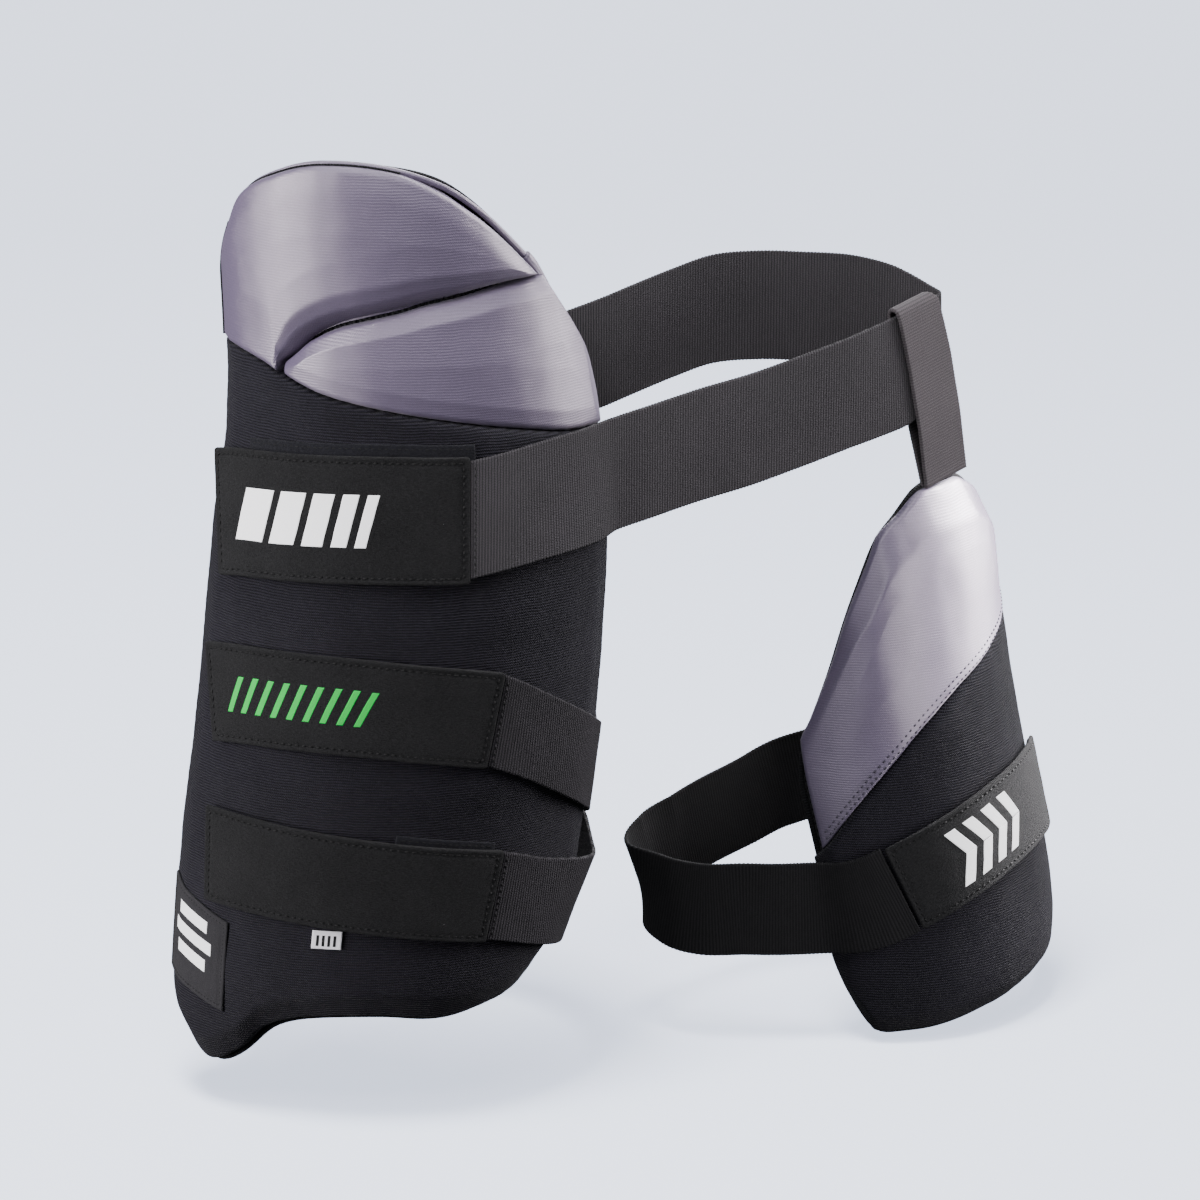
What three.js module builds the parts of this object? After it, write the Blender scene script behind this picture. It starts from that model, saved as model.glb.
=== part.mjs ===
import * as THREE from 'three';

// Cricket thigh guard, worn form, in millimetres. +Z is up, -Y is the front,
// +X runs from the outer guard to the inner guard. The origin is in the waist opening.

// Outer leg: an upright rounded surface that the outer guard and its straps follow
const OUTER_BASE = -293.4;
const OUTER_TALL = 412;
const OUTER_WRAP = 72;
const OUTER_DEPTH = 78;
const OUTER_HALF = 87;
const OUTER_EXTRA = 3;
// rows: share of the height, centre in x, half width, centre in y
const OUTER_SECTIONS = [
  [0, -100, 86, 3], [0.233, -90.5, 87.5, 0], [0.403, -81.5, 87, -1], [0.609, -74.5, 84.5, 0],
  [0.706, -73, 80, 1], [0.85, -78, 75, 4], [1, -84, 74, 9],
];

// Inner leg: an upright round surface that the inner guard and its strap follow
const INNER_BASE = -305;
const INNER_TALL = 253;
const INNER_RADIUS = 80;
const INNER_CENTRE_Y = 96;
const INNER_MIDDLE = 40;
const INNER_WRAP = 60;
// rows: share of the height, centre in x
const INNER_SECTIONS = [
  [0, 138], [0.1, 137], [0.237, 134], [0.494, 119.5], [0.731, 109], [0.85, 105], [1, 100],
];

// Walls
const OUTER_FOAM = 12;
const INNER_FOAM = 10;
const LINING = 2.6;
const GAP = 0.3;
const LINING_GAP = 0.9;
const RIM = 1.2;

// Straps
const PATCH = 0.8;
const TAB = 2.8;
const ELASTIC = 1.8;
const ON_PAD = GAP + PATCH + 2.5 * GAP;
const WAIST_TAB_WIDE = 54;
const WAIST_WIDE = 50;
const THIGH_TAB_WIDE = 43;
const THIGH_WIDE = 41;
const INNER_TAB_WIDE = 43;
const INNER_WIDE = 44;
const HANGER_WIDE = 26;

// Outlines of the outer guard. rows: share of the half wrap, share of the height
const OUTER_TOP = [
  [-1, 0.868], [-0.93, 0.893], [-0.849, 0.916], [-0.717, 0.952], [-0.458, 0.979], [-0.262, 0.988],
  [-0.006, 0.985], [0.239, 0.967], [0.406, 0.941], [0.588, 0.901], [0.718, 0.868], [0.883, 0.807],
  [0.96, 0.762], [1, 0.712],
];
const OUTER_BOTTOM = [
  [-1, 0.098], [-0.93, 0.06], [-0.813, 0.028], [-0.668, 0.01], [-0.508, 0.032], [-0.4, 0.062],
  [-0.236, 0.079], [0.069, 0.084], [0.303, 0.077], [0.47, 0.082], [0.66, 0.098], [0.824, 0.137],
  [0.94, 0.172], [1, 0.212],
];
const OUTER_SEAM = [
  [-1, 0.792], [-0.89, 0.789], [-0.733, 0.784], [-0.628, 0.778], [-0.491, 0.765], [-0.372, 0.755],
  [-0.225, 0.747], [0.002, 0.737], [0.23, 0.727], [0.472, 0.716], [0.724, 0.705], [1, 0.7],
];
const OUTER_GROOVE = [
  [-0.56, 0.78], [-0.484, 0.793], [-0.401, 0.808], [-0.282, 0.821], [-0.136, 0.83], [0.012, 0.838],
  [0.123, 0.845], [0.293, 0.852], [0.474, 0.86], [0.7, 0.866],
];
const GROOVE_FROM = -0.56;
const GROOVE_TO = 0.68;
const GROOVE_GAP = 1.4;
const SEAM_GAP = 0.5;

// Outlines of the inner guard. rows: share of the half wrap from its middle, share of the height
const INNER_TOP = [
  [-1.03, 0.475], [-0.98, 0.54], [-0.86, 0.605], [-0.7, 0.698], [-0.547, 0.8], [-0.393, 0.888],
  [-0.315, 0.93], [-0.173, 0.962], [-0.053, 0.988], [0.03, 0.998], [0.37, 0.998], [0.46, 0.988],
  [0.667, 0.957], [0.833, 0.925], [1, 0.84],
];
const INNER_BOTTOM = [
  [-1.03, 0.17], [-1, 0.135], [-0.955, 0.098], [-0.908, 0.066], [-0.813, 0.022], [-0.76, 0],
  [-0.6, 0.002], [-0.43, 0.005], [-0.27, 0.012], [-0.09, 0.022], [0.2, 0.036], [0.55, 0.05],
  [0.85, 0.085], [1, 0.15],
];
const INNER_SEAM = [
  [-1.03, 0.33], [-0.908, 0.362], [-0.777, 0.408], [-0.608, 0.465], [-0.41, 0.526],
  [-0.207, 0.583], [0.027, 0.632], [0.3, 0.668], [0.55, 0.692], [1, 0.73],
];
const INNER_LEFT = -1.03;
const INNER_PANEL_LEFT = -0.955;

// Strap centre lines on the outer guard. rows: degrees of turn, z, offset from the surface, lean in x
const BACK_STEP = -7;
const BACK_INSIDE = -OUTER_FOAM - LINING_GAP - LINING - 0.9 - ELASTIC;
const WAIST_TAB_LINE = [[-59, -38.2], [-50, -35.5], [-30, -33], [-7, -31.4], [16, -32.1]];
const WAIST_TAB_END = 16;
const UPPER_TAB_LINE = [[-55, -116.2], [-42, -113], [-11.5, -112.2], [14.8, -117], [26.2, -120.6]];
const UPPER_TAB_END = 26.2;
const UPPER_LINE = [
  [26.2, -120.6, ON_PAD], [34, -126.5, ON_PAD], [42.6, -134.1, ON_PAD], [58, -148, ON_PAD],
  [66, -155, -0.2], [70.5, -158, -1.6], [77, -162, -6.5], [90, -163, -9], [120, -158, BACK_STEP - 2], [180, -140, BACK_STEP],
  [240, -124, BACK_STEP], [270, -119, BACK_INSIDE - 2], [285, -118, BACK_INSIDE], [300, -117, BACK_INSIDE],
];
const LOWER_TAB_LINE = [[-49, -187], [-35, -187.4], [-6.2, -191.9], [20.5, -198.4], [32, -201.8]];
const LOWER_TAB_END = 32;
const LOWER_LINE = [
  [32, -201.8, ON_PAD, 0], [39, -205, ON_PAD, 0], [46.3, -209.2, ON_PAD, 0], [56, -213.5, 1.8, 0.05],
  [63, -216, 1.2, 0.16], [70, -217, -1.3, 0.28], [77, -217, -6.2, 0.3], [92, -215, -9, 0.2],
  [120, -210, BACK_STEP, 0.1], [180, -200, BACK_STEP, 0], [240, -192, BACK_STEP, 0],
  [270, -190, BACK_INSIDE - 2, 0], [285, -189, BACK_INSIDE, 0], [300, -188, BACK_INSIDE, 0],
];

// Waist strap away from the guard. rows: x, y, z of its centre line, lean of its width in x and y
const HANGER_LEAN = [-0.04, 0.105];
const WAIST_FREE = [
  [12.4, -31.5, -24.6], [27.3, -22, -22.1], [48.8, -9, -18.3], [70.5, 2, -14.8], [92.4, 13, -9.8],
  [114.6, 25, -4.5], [136.5, 40.4, 0.5, ...HANGER_LEAN], [142.5, 45.8, 2.2, ...HANGER_LEAN],
  [148.5, 51.2, 3.8, ...HANGER_LEAN], [152, 54.4, 4.8, ...HANGER_LEAN],
  [154.8, 56.9, 5.6, ...HANGER_LEAN], [156, 59.3, 6.2, ...HANGER_LEAN], [154.8, 62.2, 6.9],
  [150.6, 66.3, 8.6], [143, 71.5, 12], [134.3, 76, 15.2], [117.2, 85, 17.4], [95.3, 92, 17.1], [77.5, 94, 17.1], [56.5, 92, 15.8],
  [39.4, 86, 11.3], [22, 76, 6.6], [5.1, 66, 1.9], [-25, 54, -6], [-60, 42, -14], [-92, 27, -22],
  [-114, 10, -29],
];
const WAIST_INSIDE = [[-82, -37], [-70, -39], [-58, -40]];

// Inner strap. rows: degrees of turn, z on the guard, then x, y, z away from it
const INNER_TAB_LINE = [[6.8, -231.5], [24.2, -220.9], [46.4, -210.2], [67.8, -205.4], [84, -206]];
const INNER_ON_PAD = [[6.2, -231.8], [-2, -237], [-10.5, -240.7], [-20, -242.4]];
const INNER_FREE = [
  [85, 18, -243], [71, 18.5, -243], [51, 21, -244], [36, 27, -242, -0.12], [24, 40, -237, -0.3],
  [29, 55, -232, -0.12],
  [42, 67, -227], [56, 78, -222.5], [73, 90, -218], [87, 98, -213], [104, 104, -209],
  [135, 119, -205], [165, 131, -203], [187, 129, -203],
];
const INNER_INSIDE = [[103, -204], [92, -205], [80, -206]];

// Hanger strap: a folded loop over the waist strap, sewn to the neck of the inner guard
const HANGER_TOP = [148.5, 51.2, 3.8];
const HANGER_DROP = 55.2;
const HANGER_SHIFT = -3;
const HANGER_BACK_NOTCH = 8;
const HANGER_SPREAD = 3;
const HANGER_FOOT_SPREAD = 1.15;
const HANGER_ALONG = [0.74, 0.67, 0.2];

const rad = (degrees) => degrees * Math.PI / 180;

// Smooth curve through rows of [share, value, ...]
function curve(rows, column = 1) {
  const last = rows.length - 1;
  const slope = rows.map((row, i) => {
    const a = rows[Math.max(i - 1, 0)];
    const b = rows[Math.min(i + 1, last)];
    return (b[column] - a[column]) / (b[0] - a[0]);
  });
  return (share) => {
    if (share <= rows[0][0]) return rows[0][column];
    if (share >= rows[last][0]) return rows[last][column];
    let i = 0;
    while (share > rows[i + 1][0]) i += 1;
    const span = rows[i + 1][0] - rows[i][0];
    const t = (share - rows[i][0]) / span;
    const p = rows[i][column];
    const q = rows[i + 1][column];
    const m = slope[i] * span;
    const n = slope[i + 1] * span;
    return p + m * t + (3 * (q - p) - 2 * m - n) * t * t + (m + n - 2 * (q - p)) * t * t * t;
  };
}

const outerX = curve(OUTER_SECTIONS, 1);
const outerHalf = curve(OUTER_SECTIONS, 2);
const outerY = curve(OUTER_SECTIONS, 3);
const innerX = curve(INNER_SECTIONS, 1);

// Point of the outer leg: turn in degrees from the front, height z, distance outward
function outerLeg(turn, z, out) {
  const share = (z - OUTER_BASE) / OUTER_TALL;
  const across = (outerHalf(share) + OUTER_EXTRA) / Math.sin(rad(OUTER_WRAP));
  const deep = OUTER_DEPTH * outerHalf(share) / OUTER_HALF;
  const s = Math.sin(rad(turn));
  const c = Math.cos(rad(turn));
  const normal = new THREE.Vector3(s / across, -c / deep, 0).normalize();
  const point = new THREE.Vector3(outerX(share) + across * s, outerY(share) - deep * c, z);
  return point.addScaledVector(normal, out);
}

// Point of the inner leg
function innerLeg(turn, z, out) {
  const share = (z - INNER_BASE) / INNER_TALL;
  const r = INNER_RADIUS + out;
  return new THREE.Vector3(
    innerX(share) + r * Math.sin(rad(turn)),
    INNER_CENTRE_Y - r * Math.cos(rad(turn)),
    z,
  );
}

// Closed mesh from two grids of points: grid[column][row], the first one facing outward
function shell(front, back) {
  const columns = front.length;
  const rows = front[0].length;
  const points = [...front.flat(), ...back.flat()];
  const half = columns * rows;
  const at = (i, j) => i * rows + j;
  const index = [];
  const quad = (a, b, c, d) => index.push(a, b, c, a, c, d);
  for (let i = 0; i < columns - 1; i += 1) {
    for (let j = 0; j < rows - 1; j += 1) {
      quad(at(i, j), at(i + 1, j), at(i + 1, j + 1), at(i, j + 1));
      quad(half + at(i, j), half + at(i, j + 1), half + at(i + 1, j + 1), half + at(i + 1, j));
    }
    quad(half + at(i, 0), half + at(i + 1, 0), at(i + 1, 0), at(i, 0));
    quad(at(i, rows - 1), at(i + 1, rows - 1), half + at(i + 1, rows - 1), half + at(i, rows - 1));
  }
  for (let j = 0; j < rows - 1; j += 1) {
    quad(half + at(0, j), at(0, j), at(0, j + 1), half + at(0, j + 1));
    const end = columns - 1;
    quad(at(end, j), half + at(end, j), half + at(end, j + 1), at(end, j + 1));
  }
  const flat = [];
  points.forEach((p) => flat.push(p.x, p.y, p.z));
  const geometry = new THREE.BufferGeometry();
  geometry.setAttribute('position', new THREE.Float32BufferAttribute(flat, 3));
  geometry.setIndex(index);
  geometry.computeVertexNormals();
  return geometry;
}

const NO_BEVEL = [1, 0];
const BODY_BEVEL = { left: [17, 3.2], right: [17, 3.2], bottom: [12, 6.5], top: [3, 1.2] };

// Evenly placed values between two ends, with one more at each bevel
function stations(from, to, first, last, count) {
  const room = to - from;
  const k = Math.min(1, 0.86 * room / (first + last));
  const a = from + first * k;
  const b = to - last * k;
  const list = [from];
  for (let i = 0; i <= count; i += 1) {
    list.push(a + (b - a) * i / count);
  }
  list.push(to);
  return list;
}

// Pad: part of a leg surface with a sloped edge. Bevels are [width, drop]
function pad(leg, o) {
  const perDegree = o.radius * Math.PI / 180;
  const wl = o.bevel.left;
  const wr = o.bevel.right;
  const wb = o.bevel.bottom;
  const wt = o.bevel.top;
  const turns = stations(o.left, o.right, wl[0] / perDegree, wr[0] / perDegree, o.columns);
  const front = [];
  const back = [];
  turns.forEach((turn) => {
    const low = o.bottom(turn);
    const high = o.top(turn);
    const heights = stations(low, high, wb[0], wt[0], o.rows);
    const toLeft = (turn - o.left) * perDegree;
    const toRight = (o.right - turn) * perDegree;
    const under = o.under || (() => 0);
    const drop = (z) => under(turn, z) + Math.max(
      wl[1] * (1 - Math.min(1, toLeft / wl[0])),
      wr[1] * (1 - Math.min(1, toRight / wr[0])),
      wb[1] * (1 - Math.min(1, (z - low) / wb[0])),
      wt[1] * (1 - Math.min(1, (high - z) / wt[0])),
    );
    front.push(heights.map((z) => leg(turn, z, o.face - drop(z))));
    back.push(heights.map((z) => leg(turn, z, o.back - under(turn, z))));
  });
  return shell(front, back);
}

const SQUARE_EASE = 22;

// Strap: a band of the given width and thickness along stops of { at, up }.
// With a direction "square", the first end lies square to it and the rest keeps upright sections;
// without one, every section lies square to the band
function strap(stops, width, thick, steps, square) {
  const at = new THREE.CatmullRomCurve3(stops.map((s) => s.at), false, 'centripetal');
  const left = [];
  const right = [];
  const count = steps;
  const pick = (t, list) => {
    const u = t * (list.length - 1);
    const i = Math.min(Math.floor(u), list.length - 2);
    return list[i].clone().lerp(list[i + 1], u - i).normalize();
  };
  const ups = stops.map((s) => s.up);
  for (let i = 0; i <= count; i += 1) {
    const t = i / count;
    const along = at.getTangent(t).normalize();
    const up = pick(t, ups);
    if (square) {
      const start = Math.max(0, 1 - at.getPoint(t).distanceTo(stops[0].at) / SQUARE_EASE);
      const first = up.clone().addScaledVector(square, -up.dot(square)).normalize();
      along.lerp(square, start).normalize();
      up.lerp(first, start).normalize();
    } else {
      up.addScaledVector(along, -up.dot(along)).normalize();
    }
    const out = new THREE.Vector3().crossVectors(along, up).normalize();
    const middle = at.getPoint(t);
    const corner = (o, u) => middle.clone().addScaledVector(out, o * thick / 2).addScaledVector(up, u * width / 2);
    left.push([corner(1, -1), corner(1, 1)]);
    right.push([corner(-1, -1), corner(-1, 1)]);
  }
  return shell(left, right);
}

// Stop on a leg surface, with the width direction lying in the surface
function onLeg(leg, turn, z, out) {
  const up = leg(turn, z + 15, out).sub(leg(turn, z - 15, out)).normalize();
  return { at: leg(turn, z, out), up };
}

function freeStop(row) {
  return { at: new THREE.Vector3(row[0], row[1], row[2]), up: new THREE.Vector3(row[3] || 0, row[4] || 0, 1) };
}

// Stops every few degrees along a centre line given as rows of [turn, z, offset]
function lineStops(leg, rows, from, to, step, out) {
  const z = curve(rows, 1);
  const off = rows[0].length > 2 ? curve(rows, 2) : () => 0;
  const lean = rows[0].length > 3 ? curve(rows, 3) : () => 0;
  const count = Math.max(2, Math.round(Math.abs(to - from) / step));
  const stops = [];
  for (let i = 0; i <= count; i += 1) {
    const turn = from + (to - from) * i / count;
    const stop = onLeg(leg, turn, z(turn), off(turn) + out);
    stop.up.x += lean(turn);
    stops.push(stop);
  }
  return stops;
}

function material(colour, roughness) {
  return new THREE.MeshStandardMaterial({ color: colour, roughness, metalness: 0 });
}

const GREY = 0x8c8798;
const BLACK = 0x19191f;
const STRAP_BLACK = 0x2a292e;
const part = new THREE.Group();
part.name = 'cricket_thigh_guard';

function add(name, geometry, colour, roughness) {
  const mesh = new THREE.Mesh(geometry, material(colour, roughness));
  mesh.name = name;
  part.add(mesh);
}

const outerAt = (table, shift) => {
  const f = curve(table);
  return (turn) => OUTER_BASE + OUTER_TALL * f(turn / OUTER_WRAP) + shift;
};
const innerAt = (table, shift) => {
  const f = curve(table);
  return (turn) => INNER_BASE + INNER_TALL * f((turn - INNER_MIDDLE) / INNER_WRAP) + shift;
};

// Outer guard
const outerBack = -OUTER_FOAM;
const liningFace = outerBack - LINING_GAP;
const outerLeft = -OUTER_WRAP;
const outerRight = OUTER_WRAP;
const rimTurn = RIM / OUTER_HALF * 180 / Math.PI;
add('outer_lining', pad(outerLeg, {
  radius: OUTER_HALF, left: outerLeft, right: outerRight, columns: 20, rows: 11,
  bottom: outerAt(OUTER_BOTTOM, 0), top: outerAt(OUTER_TOP, 0),
  face: liningFace, back: liningFace - LINING,
  bevel: { left: NO_BEVEL, right: NO_BEVEL, bottom: NO_BEVEL, top: NO_BEVEL },
}), BLACK, 0.9);
add('outer_body', pad(outerLeg, {
  radius: OUTER_HALF, left: outerLeft + rimTurn, right: outerRight - rimTurn, columns: 22, rows: 9,
  bottom: outerAt(OUTER_BOTTOM, RIM), top: outerAt(OUTER_SEAM, -SEAM_GAP / 2),
  face: 0, back: outerBack,
  bevel: BODY_BEVEL,
}), BLACK, 0.62);
const grooveTurn = (share) => share * OUTER_WRAP;
const grooveAt = outerAt(OUTER_GROOVE, 0);
const seamAt = outerAt(OUTER_SEAM, 0);
add('hip_panel_upper', pad(outerLeg, {
  radius: OUTER_HALF, left: outerLeft + rimTurn, right: grooveTurn(GROOVE_TO), columns: 22, rows: 3,
  bottom: (turn) => (turn < grooveTurn(GROOVE_FROM)
    ? seamAt(turn) + SEAM_GAP / 2
    : Math.max(seamAt(turn) + SEAM_GAP / 2, grooveAt(turn) + GROOVE_GAP / 2)),
  top: outerAt(OUTER_TOP, -RIM),
  face: 0, back: outerBack,
  bevel: { left: [15, 3.2], right: [12, 3.5], bottom: [17, 4], top: [5, 6.5] },
}), GREY, 0.55);
add('hip_panel_lower', pad(outerLeg, {
  radius: OUTER_HALF, left: grooveTurn(GROOVE_FROM) + 1.5, right: outerRight - rimTurn, columns: 20, rows: 3,
  bottom: outerAt(OUTER_SEAM, SEAM_GAP / 2),
  top: (turn) => {
    const rim = outerAt(OUTER_TOP, -RIM)(turn);
    return Math.min(rim, grooveAt(turn) - GROOVE_GAP / 2);
  },
  face: 0, back: outerBack,
  bevel: { left: [10, 4], right: [12, 3.5], bottom: [3, 1.2], top: [5.5, 4.5] },
}), GREY, 0.55);

// Patches under the tabs
const patchBevel = { left: NO_BEVEL, right: NO_BEVEL, bottom: NO_BEVEL, top: NO_BEVEL };
function patch(name, leg, line, from, to, above, below, radius) {
  const z = curve(line, 1);
  add(name, pad(leg, {
    radius, left: from, right: to, columns: 10, rows: 4,
    bottom: (turn) => z(turn) - below, top: (turn) => z(turn) + above,
    face: 1.5 * GAP + PATCH, back: 1.5 * GAP, bevel: patchBevel,
  }), 0x1f1e23, 0.95);
}
patch('waist_patch', outerLeg, WAIST_TAB_LINE, -50, 18, WAIST_TAB_WIDE / 2 + 4, WAIST_TAB_WIDE / 2 - 3, OUTER_HALF);
patch('thigh_patch_upper', outerLeg, UPPER_TAB_LINE, -36, 25, 18, 18, OUTER_HALF);
patch('thigh_patch_lower', outerLeg, LOWER_TAB_LINE, 4, 31, 24, 18, OUTER_HALF);

// Tabs
function tab(name, leg, line, from, to, width) {
  const stops = lineStops(leg, line, from, to, 8, ON_PAD + TAB / 2);
  add(name, strap(stops, width, TAB, stops.length - 1), STRAP_BLACK, 0.95);
  return new THREE.CatmullRomCurve3(stops.map((s) => s.at), false, 'centripetal').getTangent(1).normalize();
}
const waistSquare = tab('waist_tab', outerLeg, WAIST_TAB_LINE, -59, WAIST_TAB_END, WAIST_TAB_WIDE);
const upperSquare = tab('thigh_tab_upper', outerLeg, UPPER_TAB_LINE, -55, UPPER_TAB_END, THIGH_TAB_WIDE);
const lowerSquare = tab('thigh_tab_lower', outerLeg, LOWER_TAB_LINE, -49, LOWER_TAB_END, THIGH_TAB_WIDE);

// Thigh straps round the back of the outer leg
const endStep = GAP / OUTER_HALF * 180 / Math.PI;
function thighStrap(name, line, from, square) {
  const rows = line.map((row) => [row[0], row[1], row[2] + ELASTIC / 2, row[3] || 0]);
  const stops = lineStops(outerLeg, rows, from + endStep, line[line.length - 1][0], 6, 0);
  add(name, strap(stops, THIGH_WIDE, ELASTIC, 60, square), STRAP_BLACK, 0.85);
}
thighStrap('thigh_strap_upper', UPPER_LINE, UPPER_TAB_END, upperSquare);
thighStrap('thigh_strap_lower', LOWER_LINE, LOWER_TAB_END, lowerSquare);

// Waist strap
const onGuard = [[WAIST_TAB_END, -32.1, ON_PAD], [38, -27, ON_PAD], [58, -25.5, ON_PAD]];
const waistStops = [
  ...lineStops(outerLeg, onGuard.map((r) => [r[0], r[1], r[2] + ELASTIC / 2]), WAIST_TAB_END + endStep, 58, 7, 0),
  ...WAIST_FREE.map(freeStop),
  ...WAIST_INSIDE.map((r) => onLeg(outerLeg, r[0], r[1], BACK_INSIDE - GAP + ELASTIC / 2)),
];
add('waist_strap', strap(waistStops, WAIST_WIDE, ELASTIC, 120, waistSquare), STRAP_BLACK, 0.85);

// Badge and size label
const bodyLeft = outerLeft + rimTurn;
const underBadge = (turn) => BODY_BEVEL.left[1]
  * Math.max(0, 1 - (turn - bodyLeft) * OUTER_HALF * Math.PI / 180 / BODY_BEVEL.left[0]);
add('badge_patch', pad(outerLeg, {
  under: underBadge,
  radius: OUTER_HALF, left: -68, right: -40, columns: 7, rows: 2,
  bottom: (turn) => -250 - 10 * (turn + 68) / 28, top: (turn) => -205.5 - 12.5 * (turn + 68) / 28,
  face: GAP + 1.1, back: GAP, bevel: patchBevel,
}), 0x3a393f, 0.6);
add('size_label', pad(outerLeg, {
  radius: OUTER_HALF, left: -14.8, right: -6.9, columns: 2, rows: 1,
  bottom: () => -223, top: () => -214.6,
  face: GAP + 0.4, back: GAP, bevel: patchBevel,
}), 0xe9e9ee, 0.6);

// Inner guard
const innerTurn = (share) => INNER_MIDDLE + INNER_WRAP * share;
const innerBack = -INNER_FOAM;
const innerLiningFace = innerBack - LINING_GAP;
add('inner_lining', pad(innerLeg, {
  radius: INNER_RADIUS, left: innerTurn(INNER_LEFT) - 1.5, right: innerTurn(1), columns: 20, rows: 8,
  bottom: innerAt(INNER_BOTTOM, 0), top: innerAt(INNER_TOP, 0),
  face: innerLiningFace, back: innerLiningFace - LINING,
  bevel: patchBevel,
}), BLACK, 0.9);
add('inner_body', pad(innerLeg, {
  radius: INNER_RADIUS, left: innerTurn(INNER_LEFT), right: innerTurn(1) - 1, columns: 20, rows: 6,
  bottom: innerAt(INNER_BOTTOM, RIM), top: innerAt(INNER_SEAM, -SEAM_GAP / 2),
  face: 0, back: innerBack,
  bevel: { left: [12, 6.5], right: [12, 6], bottom: [9, 6], top: [3, 1.2] },
}), BLACK, 0.62);
add('inner_panel', pad(innerLeg, {
  radius: INNER_RADIUS, left: innerTurn(INNER_PANEL_LEFT), right: innerTurn(1) - 1, columns: 22, rows: 6,
  bottom: innerAt(INNER_SEAM, SEAM_GAP / 2), top: innerAt(INNER_TOP, -RIM),
  face: 0, back: innerBack,
  bevel: { left: [12, 6], right: [12, 6], bottom: [3, 1.2], top: [17, 6.5] },
}), GREY, 0.5);

// Inner strap and its tab
patch('inner_patch', innerLeg, INNER_TAB_LINE, 22, 80, 18, 18, INNER_RADIUS);
tab('inner_tab', innerLeg, INNER_TAB_LINE, 7.1, 84, INNER_TAB_WIDE);
const innerStops = [
  ...INNER_ON_PAD.map((r) => onLeg(innerLeg, r[0], r[1], ON_PAD + ELASTIC / 2)),
  ...INNER_FREE.map(freeStop),
  ...INNER_INSIDE.map((r) => onLeg(innerLeg, r[0], r[1], innerBack - GAP - LINING - GAP - 1 - ELASTIC / 2)),
];
innerStops.reverse();
add('inner_strap', strap(innerStops, INNER_WIDE, ELASTIC, 80), STRAP_BLACK, 0.85);

// Hanger: front layer, fold over the waist strap, back layer
const hangerAlong = new THREE.Vector3(...HANGER_ALONG).normalize();
const hangerUp = new THREE.Vector3(...HANGER_LEAN, 1);
hangerUp.addScaledVector(hangerAlong, -hangerUp.dot(hangerAlong)).normalize();
const hangerOut = new THREE.Vector3().crossVectors(hangerAlong, hangerUp).normalize();
const hangerTop = new THREE.Vector3(...HANGER_TOP);
const foldHigh = WAIST_WIDE / 2 + 2 * GAP + ELASTIC / 2 - HANGER_SPREAD + 1;
const hangerStops = [];
const layer = (share, side) => {
  const narrow = Math.max(0, (share - 0.5) / 0.5);
  const spread = HANGER_SPREAD + (HANGER_FOOT_SPREAD - HANGER_SPREAD) * narrow;
  return hangerTop.clone()
    .addScaledVector(hangerUp, -HANGER_DROP * share)
    .addScaledVector(hangerAlong, HANGER_SHIFT * share)
    .addScaledVector(hangerOut, side * spread);
};
const shares = [1, 0.85, 0.7, 0.5, 0.25, 0];
shares.forEach((s) => hangerStops.push(layer(s, 1)));
for (let k = 0; k <= 6; k += 1) {
  const angle = Math.PI * k / 6;
  hangerStops.push(hangerTop.clone()
    .addScaledVector(hangerUp, foldHigh + HANGER_SPREAD * Math.sin(angle))
    .addScaledVector(hangerOut, HANGER_SPREAD * Math.cos(angle)));
}
shares.reverse().forEach((s) => hangerStops.push(layer(s, -1)));
const hangerOuter = [];
const hangerInner = [];
hangerStops.forEach((p, i) => {
  const a = hangerStops[Math.max(i - 1, 0)];
  const b = hangerStops[Math.min(i + 1, hangerStops.length - 1)];
  const run = b.clone().sub(a).normalize();
  const normal = new THREE.Vector3().crossVectors(hangerAlong, run).normalize();
  const fold = Math.min(1, Math.max(0, (i - shares.length + 1) / 7));
  const notch = (side) => (side > 0 ? HANGER_BACK_NOTCH * fold : 0);
  const edge = (side, out) => p.clone()
    .addScaledVector(hangerAlong, side * HANGER_WIDE / 2 - notch(side))
    .addScaledVector(normal, out * ELASTIC / 2);
  hangerOuter.push([edge(1, 1), edge(-1, 1)]);
  hangerInner.push([edge(1, -1), edge(-1, -1)]);
});
add('hanger_strap', shell(hangerOuter, hangerInner), STRAP_BLACK, 0.85);

export default part;
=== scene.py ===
"""Cricket thigh guard: the detailed outer and inner guards, straps and tabs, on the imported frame."""
import math
import bpy
import numpy as np
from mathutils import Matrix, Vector


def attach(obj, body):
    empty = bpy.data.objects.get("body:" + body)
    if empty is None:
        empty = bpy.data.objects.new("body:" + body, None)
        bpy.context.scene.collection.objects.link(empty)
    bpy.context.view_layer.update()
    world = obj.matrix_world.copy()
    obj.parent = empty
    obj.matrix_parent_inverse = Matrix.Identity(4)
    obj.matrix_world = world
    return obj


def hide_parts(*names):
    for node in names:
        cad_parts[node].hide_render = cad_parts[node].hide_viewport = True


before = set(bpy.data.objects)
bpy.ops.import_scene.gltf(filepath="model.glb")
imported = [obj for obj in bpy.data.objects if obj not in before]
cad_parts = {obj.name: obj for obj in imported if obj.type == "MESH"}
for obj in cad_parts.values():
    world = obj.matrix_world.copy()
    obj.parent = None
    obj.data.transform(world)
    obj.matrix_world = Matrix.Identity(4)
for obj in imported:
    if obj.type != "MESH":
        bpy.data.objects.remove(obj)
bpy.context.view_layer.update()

# The shapes are worked out in millimetres and the meshes are made in metres
MM = 0.001

# Outer leg: height of the guard's lowest place, its height, half of its wrap in degrees, the leg's depth and
# half width, and what the wrap adds to the half width
OUTER_BASE = -293.4
OUTER_TALL = 412
OUTER_WRAP = 72
OUTER_DEPTH = 78
OUTER_HALF = 87
OUTER_EXTRA = 3
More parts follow.
